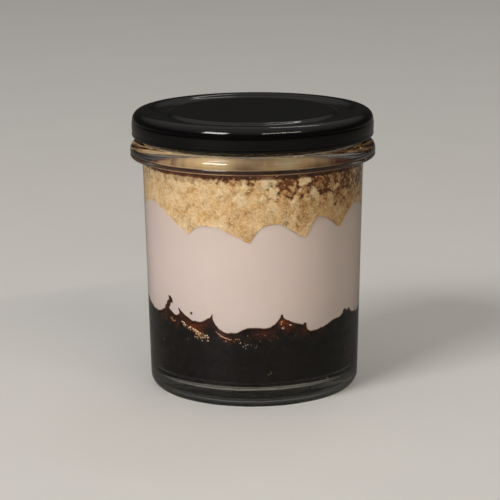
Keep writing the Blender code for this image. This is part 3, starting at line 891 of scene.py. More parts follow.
def jar_section():
    """The jar's section, from the inner floor over the rim and down the outside."""
    wall = NECK_RADIUS - MOUTH_RADIUS
    rim_centre = (MOUTH_RADIUS + wall / 2, RIM_TOP - wall / 2)
    floor_edge = (INNER_LOW_RADIUS - FLOOR_BEND, FLOOR_HEIGHT + FLOOR_BEND)
    bead_bend = (BEAD_RADIUS - BEAD_TOP_BEND, BEAD_TOP - BEAD_TOP_BEND)
    bead_corner = (BEAD_RADIUS - BEAD_LOWER_BEND, BEAD_BOTTOM + BEAD_LOWER_BEND)
    fillet = (BODY_TOP_RADIUS + BEAD_FILLET, BEAD_BOTTOM - BEAD_FILLET)
    heel = (BODY_LOW_RADIUS - HEEL_RADIUS, HEEL_RADIUS)
    points = [(0.0, FLOOR_HEIGHT), (0.012, FLOOR_HEIGHT), (0.024, FLOOR_HEIGHT)]
    points += arc(floor_edge, FLOOR_BEND, -90.0, 0.0, 10)
    for step in range(1, 12):
        height = INNER_LOW_HEIGHT + (RIM_TOP - wall / 2 - INNER_LOW_HEIGHT) * step / 12
        points.append((inner_radius(height), height))
    points += arc(rim_centre, wall / 2, 180.0, 0.0, 14)
    low, high = THREAD_HEIGHT - THREAD_ROOM, THREAD_HEIGHT + THREAD_RISE + THREAD_ROOM
    points += [(NECK_RADIUS, high + (low - high) * step / 16) for step in range(17)]
    points += soften(
        [
            (NECK_RADIUS, low - 0.0004, 0.0),
            (NECK_RADIUS, BEAD_TOP + 0.0001, 0.0007),
            (NECK_RADIUS + 0.0010, BEAD_TOP - 0.0001, 0.0),
        ],
        5,
    )
    points += arc(bead_bend, BEAD_TOP_BEND, 76.0, 0.0, 14)
    points += [(BEAD_RADIUS - depth, PARTING_HEIGHT + lift) for depth, lift in PARTING_LINE]
    points += arc(bead_corner, BEAD_LOWER_BEND, 0.0, -86.0, 8)
    points += arc(fillet, BEAD_FILLET, 92.0, 180.0, 7)
    for lift, proud in LEDGE_LINE:
        height = LEDGE_HEIGHT + lift
        points.append((outer_radius(height) + proud, height))
    for step in range(1, 10):
        height = LEDGE_HEIGHT - 0.002 + (HEEL_RADIUS + 0.002 - LEDGE_HEIGHT) * step / 10
        points.append((outer_radius(height), height))
    points += arc(heel, HEEL_RADIUS, 0.0, -90.0, 14)
    points += soften(
        [
            (BODY_LOW_RADIUS - HEEL_RADIUS - 0.0005, 0.0, 0.0),
            (FOOT_INNER, 0.0, 0.0008),
            (FOOT_INNER - 0.0016, PUNT_HEIGHT * 0.62, 0.0008),
            (FOOT_INNER - 0.0060, PUNT_HEIGHT * 0.90, 0.0010),
            (0.0, PUNT_HEIGHT, 0.0),
        ],
        5,
    )
    return points


def raise_threads(jar):
    """Draw the neck's short sloping ridges out of its wall, for the lid's lugs."""
    points = read_points(jar)
    radii, heights = np.hypot(points[:, 0], points[:, 1]), points[:, 2]
    low, high = NECK_SPAN
    on_neck = (radii >= NECK_RADIUS - 0.0003) & (heights > low) & (heights < high)
    along = angles_of(points) % (360.0 / THREAD_COUNT) / THREAD_ARC
    ends = ease(np.minimum(along, 1.0 - along) / THREAD_END)
    off = (heights - THREAD_HEIGHT - THREAD_RISE * along) / THREAD_BULGE
    swell = np.where(on_neck, np.sqrt(np.clip(1.0 - off**2, 0.0, 1.0)) * ends, 0.0)
    points[:, :2] *= (1.0 + THREAD_BULGE * swell / np.maximum(radii, MOUTH_RADIUS))[:, None]
    write_points(jar, points)


def make_jar(mottle):
    """Clear jar with straight sides, a bead under the lid and a threaded neck."""
    jar = spin_section("glass_jar", jar_section(), TURN_STEPS)
    raise_threads(jar)
    finish_piece(jar, 50.0, glass_material(mottle))
    return jar


def lid_section():
    """The lid's section, from the panel out, down the skirt and back underneath."""
    top = TOTAL_HEIGHT
    under = TOTAL_HEIGHT - LID_SHEET
    inside = LID_RADIUS - LID_SHEET
    shoulder = (LID_RADIUS - LID_SHOULDER, top - LID_SHOULDER)
    upper_bend = (shoulder[0] - SKIRT_STEP, shoulder[1])
    curl = (LID_RADIUS - CURL_RADIUS, LID_BOTTOM + CURL_RADIUS)
    points = soften(
        [
            (0.0, top - PANEL_DROP - 0.00022, 0.0),
            (0.012, top - PANEL_DROP - 0.00015, 0.004),
            (PANEL_RADIUS - 0.0010, top - PANEL_DROP, 0.0012),
            (PANEL_RADIUS + 0.0001, top - PANEL_DROP - 0.0001, 0.0005),
            (GROOVE_INNER, top - GROOVE_DEPTH, 0.0007),
            (GROOVE_OUTER, top - GROOVE_DEPTH, 0.0009),
            (CROWN_INNER - 0.0005, top - 0.0001, 0.0008),
            (CROWN_INNER + 0.0006, top, 0.0004),
            (LID_RADIUS - LID_SHOULDER - SKIRT_STEP, top, 0.0),
        ],
        6,
    )
    points += arc(upper_bend, LID_SHOULDER, 90.0, 4.0, 18)
    points += [
        (LID_RADIUS - SKIRT_STEP * 0.95, shoulder[1] - 0.00010),
        (LID_RADIUS - SKIRT_STEP * 0.70, shoulder[1] - 0.00035),
        (LID_RADIUS - SKIRT_STEP * 0.25, shoulder[1] - 0.00065),
        (LID_RADIUS, shoulder[1] - 0.00105),
        (LID_RADIUS, LID_BOTTOM + 0.0030),
        (LID_RADIUS - 0.00004, LID_BOTTOM + 0.0024),
        (LID_RADIUS - 0.00016, LID_BOTTOM + 0.0020),
    ]
    points += arc(curl, CURL_RADIUS, 10.0, -225.0, 20)
    points += [(inside, LID_BOTTOM + 2 * CURL_RADIUS)]
    points += arc(shoulder, LID_SHOULDER - LID_SHEET, 0.0, 90.0, 8)
    points += soften(
        [
            (CROWN_INNER + 0.0004, under, 0.0),
            (CROWN_INNER - 0.0003, under, 0.0005),
            (GROOVE_OUTER - 0.0003, under - GROOVE_DEPTH, 0.0007),
            (GROOVE_INNER + 0.0001, under - GROOVE_DEPTH, 0.0007),
            (PANEL_RADIUS - 0.0003, under - PANEL_DROP, 0.0006),
            (0.0, under - PANEL_DROP, 0.0),
        ],
        4,
    )
    return points


def press_lugs(lid):
    """Extrude the lid's lugs inward from the inner side of its rolled edge."""
    inner_side = LID_RADIUS - CURL_RADIUS
    low, high = LUG_BAND
    for number in range(LUG_COUNT):
        middle = LUG_START + 360.0 * number / LUG_COUNT
        select_only(lid)
        centres = np.zeros(len(lid.data.polygons) * 3)
        lid.data.polygons.foreach_get("center", centres)
        centres = centres.reshape(-1, 3)
        heights = centres[:, 2] - LID_BOTTOM
        chosen = (heights > low) & (heights < high)
        chosen &= np.hypot(centres[:, 0], centres[:, 1]) < inner_side - 0.0002
        chosen &= np.abs(degrees_apart(angles_of(centres), middle)) < LUG_HALF_ARC
        for part in (lid.data.vertices, lid.data.edges):
            part.foreach_set("select", [False] * len(part))
        lid.data.polygons.foreach_set("select", chosen)
        bpy.ops.object.mode_set(mode="EDIT")
        bpy.ops.mesh.select_mode(type="FACE")
        inward = around(-(inner_side - CURL_RADIUS - LUG_REACH), middle, 0.0)
        bpy.ops.mesh.extrude_region_move(TRANSFORM_OT_translate={"value": inward})
        centre = around(LUG_REACH, middle, LID_BOTTOM + CURL_RADIUS)
        bpy.ops.transform.resize(value=LUG_TAPER, center_override=centre)
        bpy.ops.mesh.select_mode(type="VERT")
        bpy.ops.object.mode_set(mode="OBJECT")


def make_lid(mottle, handling):
    """Black lacquered lid with a stepped top, a rolled edge and lugs."""
    lid = spin_section("black_lid", lid_section(), TURN_STEPS)
    press_lugs(lid)
    finish_piece(lid, 40.0, lacquer_material(mottle, handling))
    return lid


# Food


def lobe_ring(front, end, heights, swells, draw):
    """All lobes round the jar: the front ones, then drawn ones for the hidden side."""
    lobes = list(front)
    finish = front[0][0] + 360.0
    angle = end
    while finish - angle > HIDDEN_LOBE_WIDTH[0]:
        shape = [draw.uniform(*limits) for limits in (heights, swells, LOBE_SUMMIT)]
        lobes.append((angle, *shape))
        angle += draw.uniform(*HIDDEN_LOBE_WIDTH)
    return lobes


def lobed_height(lobes, angle, sense, fullness):
    """Height at the glass of a row of rounded lobes that swell up or down."""
    start = lobes[0][0]
    angle = start + (angle - start) % 360.0
    ends = [*lobes[1:], (start + 360.0, lobes[0][1])]
    for (first, height, swell, summit), following in zip(lobes, ends):
        if angle <= following[0]:
            share = (angle - first) / (following[0] - first)
            line = height + (following[1] - height) * share
            skew = math.log(0.5) / math.log(summit)
            return line + sense * swell * math.sin(math.pi * share**skew) ** fullness
    return lobes[0][1]


def rounded_line(heights, reach):
    """A line round the jar with its sharpest corners eased over a few steps."""
    shares = np.hanning(2 * reach + 3)[1:-1]
    padded = np.concatenate([heights[-reach:], heights, heights[:reach]])
    return np.convolve(padded, shares / shares.sum(), "valid")


def trace_line(lobes, sense, fullness, reach, waves, gentle=()):
    """Work out a lobed line for every quarter of a degree, rounded and then uneven."""
    heights = [lobed_height(lobes, angle, sense, fullness) for angle in LINE_ANGLES]
    line = rounded_line(np.array(heights), reach)
    for angle in gentle:
        share = bell(LINE_ANGLES, angle, 5.0)
        line += (rounded_line(line, 22) - line) * share
    return line + uneven_line(waves)


def uneven_line(waves):
    """Small ups and downs round the jar, added up from these waves."""
    return np.array([
        sum(
            height * noise.noise(around(WALL_RING / pitch, angle, seed * 7.31))
            for height, pitch, seed in waves
        )
        for angle in LINE_ANGLES
    ])


def line_at(line, angles):
    """Heights of a traced line at these angles."""
    return np.interp(np.asarray(angles) % 360.0, LINE_ANGLES, line, period=360.0)


DRAW = random.Random(LOBE_SEED)
TOPS = lobe_ring(CREAM_TOPS, CREAM_TOP_END, CREAM_TOP_RANGE, CREAM_TOP_RISE, DRAW)
FEET = lobe_ring(CREAM_FEET, CREAM_FOOT_END, CREAM_FOOT_RANGE, CREAM_FOOT_SAG, DRAW)
TOP_LINE = trace_line(TOPS, 1.0, TOP_FULLNESS, 6, TOP_WAVES)
FOOT_LINE = trace_line(FEET, -1.0, FOOT_FULLNESS, 2, FOOT_WAVES, SOFT_PARTINGS)
HEAP_LINE = CRUMB_TOP_WALL + uneven_line(HEAP_WAVES)
NECK_SHADE_LINE = uneven_line(NECK_SHADE_WAVES)


def layer_surface(points, line, centre):
    """Heights of a layer's surface, level in the middle and lobed at the glass."""
    radii = np.hypot(points[:, 0], points[:, 1])
    share = ease((radii - LOBE_FADE_START) / (WALL_RING - LOBE_FADE_START))
    return centre + (line_at(line, angles_of(points)) - centre) * share


def cream_surface(points):
    """Heights of the cream's upper surface under the crumbs."""
    return layer_surface(points, TOP_LINE, CREAM_TOP_CENTRE)


def base_surface(points):
    """Heights of the dark base's upper surface under the cream."""
    return layer_surface(points, FOOT_LINE, CREAM_FOOT_CENTRE)


def heap_surface(points):
    """Heights of the crumb heap before its loose crumbs are added."""
    flat = points * np.array([1.0, 1.0, 0.0])
    rough = np.array([noise.noise(Vector(spot) / CRUMB_LUMP) for spot in flat])
    lumps = pebbles(flat, HEAP_PEBBLE, 8)
    height = layer_surface(points, HEAP_LINE, CRUMB_TOP_CENTRE)
    return height + rough * CRUMB_TOP_ROUGH + (lumps - 0.6) * HEAP_PEBBLE_RISE


def scatter_cells(cells, seed):
    """Three numbers of 0 to 1 for each whole-numbered cell, the same each run."""
    mixed = cells[:, 0] * 73856093 ^ cells[:, 1] * 19349663 ^ cells[:, 2] * 83492791
    mixed = (mixed ^ seed * 2654435761) & 0xFFFFFFFF
    columns = []
    for turn in (0x45D9F3B, 0x2C1B3C6D, 0x297A2D39):
        mixed = ((mixed ^ (mixed >> 15)) * turn) & 0xFFFFFFFF
        columns.append(((mixed ^ (mixed >> 13)) & 0xFFFF) / 65536.0)
    return np.stack(columns, axis=-1)


def pebbles(points, size, seed):
    """Rounded lumps packed side by side: 1 at the top of a lump, 0 in the gaps."""
    spots = np.asarray(points, float) / size
    home = np.floor(spots).astype(np.int64)
    nearest = np.full(len(spots), 9.0)
    for step in range(27):
        cells = home + np.array([step // 9 - 1, step // 3 % 3 - 1, step % 3 - 1])
        away = spots - cells - scatter_cells(cells, seed)
        nearest = np.minimum(nearest, (away**2).sum(axis=1))
    return np.sqrt(np.clip(1.0 - nearest / 0.62, 0.0, 1.0))


def coarseness(angles, heights):
    """Where the topping is in clumps rather than fine crumbs, 0 to 1."""
    beside = np.maximum(bell(angles, *CLUMPED_FRONT), 0.85 * bell(angles, *CLUMPED_BACK))
    lift = ease((np.asarray(heights) - CLUMPED_START) / CLUMPED_RISE)
    return np.clip(0.06 + 0.94 * beside * lift, 0.0, 1.0)


def hidden_marks(count, seed, *limits):
    """Marks like the front's, each number drawn between its two limits."""
    draw = random.Random(seed)
    return [tuple(draw.uniform(*limit) for limit in limits) for _ in range(count)]


ALL_CLUMPS = (
    *CLUMPS,
    *hidden_marks(22, 71, HIDDEN_CRUMBS, (0.0700, 0.0815), (0.0012, 0.0024), (0.02, 0.30)),
)
ALL_GAPS = (
    *CRUMB_GAPS,
    *hidden_marks(30, 77, HIDDEN_CRUMBS, (0.0705, 0.0820), (0.0009, 0.0024), (0.45, 0.95)),
)
ALL_SPECKLED = (
    *SPECKLED, *hidden_marks(14, 79, HIDDEN_CRUMBS, (0.0640, 0.0730), (0.0014, 0.0022))
)
ALL_GLOWING = (*GLOWING_PARTS, *hidden_marks(9, 19, HIDDEN_SIDE, (4.0, 11.0), (0.3, 1.0)))


def neck_calm(heights):
    """How smooth the crumbs look behind the bead and the neck, 0 to 1."""
    return ease((np.asarray(heights) - NECK_START) / 0.0010)


def far_from(spots, angle, height, reach):
    """How far spots are from a place on the wall, in reaches."""
    return np.linalg.norm(spots - spread_round(WALL_RING, angle, height), axis=1) / reach


def open_shade(angles, heights):
    """Where the crumbs lie open below the bead, in painted shade from the lid and the bead, 0 to 1.
    """
    # To the right it begins lower on the wall and comes in more slowly
    right = ease((angles - 26.0) / 30.0)
    (first, fade_in), (last, fade_out) = OPEN_FROM, OPEN_TO
    front = ease((angles - first) / fade_in) * ease((last - angles) / fade_out)
    beside = np.maximum(front * (1.0 - 0.22 * right), 0.8 * bell(angles, *OPEN_BACK))
    lift = ease((heights - OPEN_START + 0.0058 * right) / (0.0020 + 0.0050 * right))
    # Painted shade just under the bead, from the shadow of the lid and the bead
    below_bead_shade = 0.45 + 0.45 * bell(angles, -6.0, 20.0)
    parts = [beside * lift, below_bead_shade * ease((heights - 0.0800) / 0.0014)]
    for centre, half_width, share, start, rise in OPEN_EDGES:
        parts.append(share * bell(angles, centre, half_width) * ease((heights - start) / rise))
    return np.maximum.reduce(parts)


def neck_shading(angles, heights):
    """The crumbs behind the bead and the neck: their painted shade and painted light.

    They are streaked along the jar's round with painted shade, darker at the bead's lower
    edge, under the lid and towards both sides, and a little paler from the bead's middle up,
    as painted light.
    """
    spots = spread_round(WALL_RING, angles, heights)
    streaks = pebbles(spots * np.array([0.10, 0.10, 2.0]), 0.0010, 11)
    patchy = np.clip(line_at(NECK_SHADE_LINE, angles), 0.0, 1.0) * (1.0 - 0.8 * bell(angles, 6.0, 18.0))
    hollow_shade = 0.04 + 0.26 * (1.0 - streaks) + 0.50 * patchy
    hollow_shade += ease((0.0858 - heights) / 0.0010) + 0.50 * ease((heights - 0.0889) / 0.0007)
    hollow_shade += 0.55 * bell(angles, -4.0, 8.0) * ease((0.0865 - heights) / 0.0006)
    hollow_shade += 0.75 * bell(angles, 72.0, 44.0) + 0.90 * bell(angles, -96.0, 34.0)
    return hollow_shade, 0.20 * ease((heights - 0.0862) / 0.0010)


def clump_marks(bent, ragged, coarse, rise, hollow_shade, pale):
    """Lay the soft clumps over the crumbs at the glass, painted paler as lit, with painted shade
    round them and in the dark gaps.
    """
    for angle, height, radius, paleness in ALL_CLUMPS:
        away = far_from(bent, angle, height, radius) * ragged
        lump = np.sqrt(np.clip(1.0 - away**2, 0.0, 1.0))
        edge = np.exp(-(((away - 1.18) / 0.16) ** 2))
        hollow_shade = hollow_shade * (1.0 - ease(lump * 1.5)) + 0.35 * coarse * edge
        rise = np.maximum(rise, lump)
        pale = pale + (paleness + 0.25 * coarse) * ease(lump * 1.5)
    for angle, height, half_width, shade in ALL_GAPS:
        hollow = shade * np.exp(-((far_from(bent, angle, height, half_width) / ragged) ** 4))
        hollow_shade = np.maximum(hollow_shade, hollow)
        rise = rise * (1.0 - hollow)
    return rise, hollow_shade, pale


def crumb_face(angles, heights):
    """The crumbs at the glass: how far they stand out, and marks for their finish."""
    heights = np.asarray(heights)
    spots = spread_round(WALL_RING, angles, heights)
    bent = spots + 0.00050 * np.sin(spots[:, [1, 2, 0]] * 2300.0 + np.array([0.0, 2.0, 4.0]))
    coarse = coarseness(angles, heights)
    lumps, bits = pebbles(bent, 0.0030, 3), pebbles(spots, 0.00135, 5)
    grit = pebbles(spots, 0.00062, 6)
    # Painted shade: the crumbs to the right of the front, turned away from the light, are browner
    # and darker
    browner = bell(angles, 56.0, 33.0)

    # The open part below the bead in painted brown shade, with painted shade between the lumps
    # where clumped, and knots of crumb standing in it painted paler, as lit
    knots = ease((pebbles(bent, 0.0023, 21) - 0.62) / 0.22) * ease((lumps - 0.20) / 0.40)
    open_shade_part = open_shade(angles, heights - 0.0022 * (lumps - 0.5) - 0.0010 * (bits - 0.5))
    hollow_shade = 0.60 * coarse * ease((0.50 - lumps) / 0.40)
    brown = np.clip(1.30 * open_shade_part, 0.0, 1.0)
    hollow_shade = np.maximum(hollow_shade, brown * (1.0 - 0.72 * knots) * (1.0 - 0.20 * bits))
    # The tone: painted light on the tops of lumps and knots, painted shade to the right, and darker
    # where clumped
    pale = -0.36 * coarse + 0.20 * (lumps - 0.5) - 0.20 * browner + 0.22 * knots * open_shade_part

    # The clumps and the shaded gaps that were placed one by one, with ragged edges
    ragged = 1.0 + 0.45 * (0.6 - bits) + 0.20 * (0.6 - grit)
    rise = (0.25 + 0.75 * coarse) * lumps
    rise, hollow_shade, pale = clump_marks(bent, ragged, coarse, rise, hollow_shade, pale)

    # Specked patches, with painted shade in small pits where the gaps of two fine patterns cross
    loose = sum(np.exp(-(far_from(bent, *mark) ** 2)) for mark in ALL_SPECKLED)
    crossings = (1.0 - pebbles(bent, 0.0012, 9)) * (1.0 - pebbles(spots, 0.0010, 8))
    pits = ease((crossings - 0.13) / 0.15) * np.clip(0.14 + 0.9 * loose, 0.0, 1.0)
    stand = 0.00014 + 0.00034 * rise + 0.00010 * bits + 0.00006 * grit - 0.00012 * hollow_shade
    hollow_shade = hollow_shade * (1.08 - 0.25 * bits) + 0.65 * pits + 0.05 * (1.0 - bits)
    hollow_shade = np.clip(hollow_shade + 0.22 * browner * (1.15 - bits), 0.0, 1.0)

    # Behind the bead and the neck they are calmer, keep clear of the glass and take the neck's
    # painted shade and light
    calm = neck_calm(heights)
    neck_shade, neck_light = neck_shading(angles, heights)
    stand = stand * (1.0 - calm) - NECK_AIR * calm
    # A painted shade, nearly black, for the dark line under the bead
    low, high = UNDER_BEAD_SHADE
    under_bead_shade = ease((heights - low) / 0.0010) * ease((high - heights) / 0.0008)
    hollow_shade = np.clip(hollow_shade * (1.0 - calm) + neck_shade * calm, 0.0, 1.0) + 0.9 * under_bead_shade
    return stand, hollow_shade, pale * (1.0 - calm) + neck_light * calm, loose * (1.0 - calm)


def food_block(name, low_rings, high_rings, side_rows):
    """A turned block: a lower disc of rings, rows up its side, an upper disc of rings.

    Until it gets its shape its heights tell which part a vertex is in: -1 is the
    lower disc, 0 to 1 the side and 2 the upper disc. Returns the block, its points
    and which of them are in the upper disc, in the lower disc and up the side.
    """
    section = [(radius, -1.0) for radius in (0.0, *ring_radii(low_rings))]
    section += [(WALL_RING, row) for row in side_rows]
    section += [(radius, 2.0) for radius in (*reversed(ring_radii(high_rings)), 0.0)]
    block = spin_section(name, section, FOOD_STEPS)
    points = read_points(block)
    upper, lower = points[:, 2] > 1.5, points[:, 2] < -0.5
    return block, points, upper, lower, ~(upper | lower)


def ring_radii(count):
    """Radii from the middle to the wall, closer together near the wall."""
    return [WALL_RING * (1.0 - (1.0 - step / count) ** 1.5) for step in range(1, count)]


def set_radius(points, chosen, radii):
    """Move the chosen points straight out or in to these radii."""
    here = points[chosen, :2]
    points[chosen, :2] = here * (radii / np.hypot(here[:, 0], here[:, 1]))[:, None]


def finish_block(block, points, marks, sharp, material):
    """Give a food block its shape, its marks for the material and its finish."""
    write_points(block, points)
    for name, values in marks.items():
        add_marks(block, name, values)
    finish_piece(block, sharp, material)
    return block


def make_base(mottle):
    """Dark syrupy base layer, from the jar's floor up into the cream."""
    base, points, upper, lower, side = food_block("dark_base_layer", 12, 12, BASE_ROWS)
    points[upper, 2] = base_surface(points[upper]) + 0.0003
    points[lower, :2] *= inner_radius(INNER_LOW_HEIGHT) / WALL_RING
    radii = np.hypot(points[lower, 0], points[lower, 1])
    over = np.clip((radii - INNER_LOW_RADIUS + FLOOR_BEND) / FLOOR_BEND, 0.0, 1.0)
    points[lower, 2] = FLOOR_HEIGHT - BASE_REACH + FLOOR_BEND * (1.0 - np.sqrt(1.0 - over**2))
    angles = angles_of(points)
    line = line_at(FOOT_LINE, angles)
    low = INNER_LOW_HEIGHT
    points[side, 2] = low + (line[side] + 0.0004 - low) * points[side, 2]
    set_radius(points, side, inner_radius(points[side, 2]) + BASE_REACH)
    # The rim mark is a painted glow, light let through the thin syrup from the cream
    glowing = sum(share * bell(angles, centre, width) for centre, width, share in ALL_GLOWING)
    depth = line - points[:, 2]
    near = (1.0 - ease(depth / 0.0062)) * (0.30 + 0.70 * ease(depth / 0.0011))
    rim = np.where(side | upper, near * np.clip(glowing, 0.0, 1.0), 0.0)
    return finish_block(base, points, {"rim": rim}, 60.0, base_material(mottle))


def make_cream(mottle):
    """Cream layer with rounded lobes above and below."""
    last = len(CREAM_ROWS) - 1
    rows = [number / last for number in range(last + 1)]
    cream, points, upper, lower, side = food_block("cream_filling", 14, 14, rows)
    points[upper, 2] = cream_surface(points[upper])
    points[lower, 2] = base_surface(points[lower])
    table = np.array(CREAM_ROWS)[np.rint(points[side, 2] * last).astype(int)]
    angles = angles_of(points[side])
    low, high = line_at(FOOT_LINE, angles), line_at(TOP_LINE, angles)
    points[side, 2] = low + (high - low) * table[:, 0] + table[:, 1]
    set_radius(points, side, inner_radius(points[side, 2]) + CREAM_REACH)
    stain = np.zeros(len(points))
    stain[side] = np.exp(-((np.maximum(points[side, 2] - low, 0.0) / STAIN_REACH) ** 1.5))
    return finish_block(cream, points, {"stain": stain}, 60.0, cream_material(mottle))


def make_core(biscuit):
    """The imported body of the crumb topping, uneven where it meets the glass."""
    core, points, upper, lower, side = food_block("packed_crumbs", 5, 24, CORE_ROWS)
    points[upper, 2] = heap_surface(points[upper])
    points[lower, 2] = cream_surface(points[lower]) - 0.0004
    angles = angles_of(points[side])
    low, top = line_at(TOP_LINE, angles) - 0.0008, line_at(HEAP_LINE, angles)
    points[side, 2] = low + (top - low) * points[side, 2]
    stand, hollow_shade, pale, loose = crumb_face(angles, points[side, 2])
    crest = ease((top - points[side, 2]) / 0.0022)
    stand = stand * crest - 0.0009 * (1.0 - crest)
    set_radius(points, side, inner_radius(points[side, 2]) + CORE_REACH + stand)
    # The first mark is painted shade in gaps and hollows; the tone carries painted light and shade
    # as well as the crumbs' own tone
    marks = {"hollow_shade": (0.2, hollow_shade), "tone": (0.58, 0.58 + pale), "loose": (0.0, loose)}
    for name, (plain, here) in marks.items():
        marks[name] = np.full(len(points), plain)
        marks[name][side] = here
    marks["grain"] = 1.0 - 0.9 * np.where(side, neck_calm(points[:, 2]), 0.0)
    finish = crumb_material("packed_biscuit", biscuit, True)
    return finish_block(core, points, marks, 80.0, finish)


def model_crumb(number, subdivisions, uneven, cuts, draw):
    """One broken crumb: a ball with moved corners and a few faces broken flat."""
    deselect_all()
    bpy.ops.mesh.primitive_ico_sphere_add(subdivisions=subdivisions, radius=1.0)
    item = bpy.context.object
    bpy.ops.object.mode_set(mode="EDIT")
    bpy.ops.mesh.select_all(action="SELECT")
    bpy.ops.transform.vertex_random(offset=uneven, uniform=0.2, normal=0.6, seed=number + 5)
    stretch = [draw.uniform(0.78, 1.12) for _ in range(3)]
    bpy.ops.transform.resize(value=stretch)
    for _ in range(cuts):
        side = Vector([draw.gauss(0.0, 1.0) for _ in range(3)]).normalized()
        bpy.ops.mesh.select_all(action="SELECT")
        bpy.ops.mesh.bisect(
            plane_co=side * draw.uniform(0.62, 0.82), plane_no=side, use_fill=True, clear_outer=True
        )
    bpy.ops.mesh.select_all(action="SELECT")
    bpy.ops.mesh.quads_convert_to_tris()
    bpy.ops.mesh.normals_make_consistent(inside=False)
    bpy.ops.object.mode_set(mode="OBJECT")
    return item


def model_clump(number, draw):
    """One clump of pressed crumbs: a lumpy ball, its bumps from a displaced surface."""
    item = model_crumb(number, 3, 0.06, 2, draw)
    lumps = bpy.data.textures.new("clump_lumps", "CLOUDS")
    lumps.noise_scale = 0.62
    lumps.noise_depth = 2
    relief = item.modifiers.new("Lumps", "DISPLACE")
    relief.texture = lumps
    relief.strength = 0.55
    relief.mid_level = 0.5
    bpy.ops.object.modifier_apply(modifier=relief.name)
    bpy.data.textures.remove(lumps)
    return item


def take_shape(item):
    """The corners and triangles of a modelled crumb, which is then removed."""
    points = read_points(item)
    item.data.calc_loop_triangles()
    faces = np.zeros(len(item.data.loop_triangles) * 3, np.int32)
    item.data.loop_triangles.foreach_get("vertices", faces)
    bpy.data.objects.remove(item)
    return points, faces.reshape(-1, 3)


def turn_matrices(count, draw):
    """Random turns, as rotation matrices, from random unit quaternions."""
    q = draw.normal(size=(count, 4))
    q /= np.linalg.norm(q, axis=1)[:, None]
    w, x, y, z = q.T
    rows = [
        [1 - 2 * (y * y + z * z), 2 * (x * y - z * w), 2 * (x * z + y * w)],
        [2 * (x * y + z * w), 1 - 2 * (x * x + z * z), 2 * (y * z - x * w)],
        [2 * (x * z - y * w), 2 * (y * z + x * w), 1 - 2 * (x * x + y * y)],
    ]
    return np.array(rows).transpose(2, 0, 1)


def hold_at_wall(points, reach):
    """Flatten what would pass this depth in the glass, as crumbs press flat on it."""
    radius = np.hypot(points[..., 0], points[..., 1])
    limit = inner_radius(points[..., 2]) + reach
    scale = np.minimum(1.0, limit / np.maximum(radius, 1e-9))
    points[..., 0] *= scale
    points[..., 1] *= scale
    return points


def mesh_piece(name, corners, faces):
    """A piece from corners and triangles."""
    mesh = bpy.data.meshes.new(name)
    mesh.vertices.add(len(corners))
    mesh.vertices.foreach_set("co", corners.ravel())
    mesh.loops.add(faces.size)
    mesh.loops.foreach_set("vertex_index", faces.ravel())
    mesh.polygons.add(len(faces))
    mesh.polygons.foreach_set("loop_start", np.arange(len(faces)) * 3)
    mesh.update(calc_edges=True)
    mesh.validate()
    item = bpy.data.objects.new(name, mesh)
    bpy.context.scene.collection.objects.link(item)
    return item


def strew(name, shapes, groups, seed, tones=None):
    """Copies of the modelled crumbs as one piece; each group is its places and sizes."""
    places, sizes = (np.concatenate(parts) for parts in zip(*groups))
    draw = np.random.default_rng(seed)
    turns = turn_matrices(len(places), draw)
    kinds = draw.integers(0, len(shapes), len(places))
    if tones is None:
        tones = draw.triangular(0.15, 0.72, 1.0, len(places))
        at_glass = np.hypot(places[:, 0], places[:, 1]) > AT_GLASS
        # Loose crumbs at the glass are painted darker where the crumbs lie open in shade under the
        # bead
        tones -= 0.50 * at_glass * open_shade(angles_of(places), places[:, 2])
    corners, faces, marks, count = [], [], [], 0
    for kind, (shape, triangles) in enumerate(shapes):
        chosen = kinds == kind
        copies = np.einsum("nij,vj->nvi", turns[chosen], shape)
        copies = copies * sizes[chosen, None, None] + places[chosen][:, None, :]
        copies = hold_at_wall(copies, GRAIN_REACH)
        number = len(copies)
        corners.append(copies.reshape(-1, 3))
        shift = count + np.arange(number)[:, None, None] * len(shape)
        faces.append((triangles[None] + shift).reshape(-1, 3))
        marks.append(np.repeat(tones[chosen], len(shape)))
        count += number * len(shape)
    item = mesh_piece(name, np.concatenate(corners), np.concatenate(faces))
    add_marks(item, "tone", np.concatenate(marks))
    return item


def drawn(draw, limits, count):
    """Random numbers between two limits, or three with the likeliest in the middle."""
    return (draw.triangular if len(limits) == 3 else draw.uniform)(*limits, count)


def wall_crumbs(draw, keep, count, margin, sizes, sunk):
    """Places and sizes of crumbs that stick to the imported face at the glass."""
    angles = draw.uniform(-180.0, 180.0, count * 3)
    low = line_at(TOP_LINE, angles) + margin
    high = line_at(HEAP_LINE, angles) - 0.0006
    heights = low + (high - low) * draw.random(count * 3)
    chosen = draw.random(count * 3) < keep(angles, heights)
    chosen &= draw.random(count * 3) > neck_calm(heights + 0.0005)
    angles, heights = angles[chosen][:count], heights[chosen][:count]
    sizes = drawn(draw, sizes, len(angles))
    stand = crumb_face(angles, heights)[0]
    radii = inner_radius(heights) + CORE_REACH + stand - sizes * drawn(draw, sunk, len(angles))
    return spread_round(radii, angles, heights), sizes


def heap_crumbs(draw, count, reach, sizes, lift):
    """Places and sizes of crumbs on top of the heap, evenly over its disc."""
    radii = reach * np.sqrt(draw.random(count))
    places = spread_round(radii, draw.uniform(0.0, 360.0, count), 0.0)
    sizes = drawn(draw, sizes, count)
    places[:, 2] = heap_surface(places) + sizes * lift
    return places, sizes


def heap_clumps(count, reach, largest, smaller, lift):
    """Places and sizes of clumps on the heap, spread like the seeds of a sunflower."""
    order = np.arange(count)
    sizes = largest - smaller * (order * 7 % count) / count
    places = spread_round(reach * np.sqrt((order + 0.5) / count), GOLDEN_ANGLE * order, 0.0)
    places[:, 2] = heap_surface(places) + sizes * lift
    return places, sizes


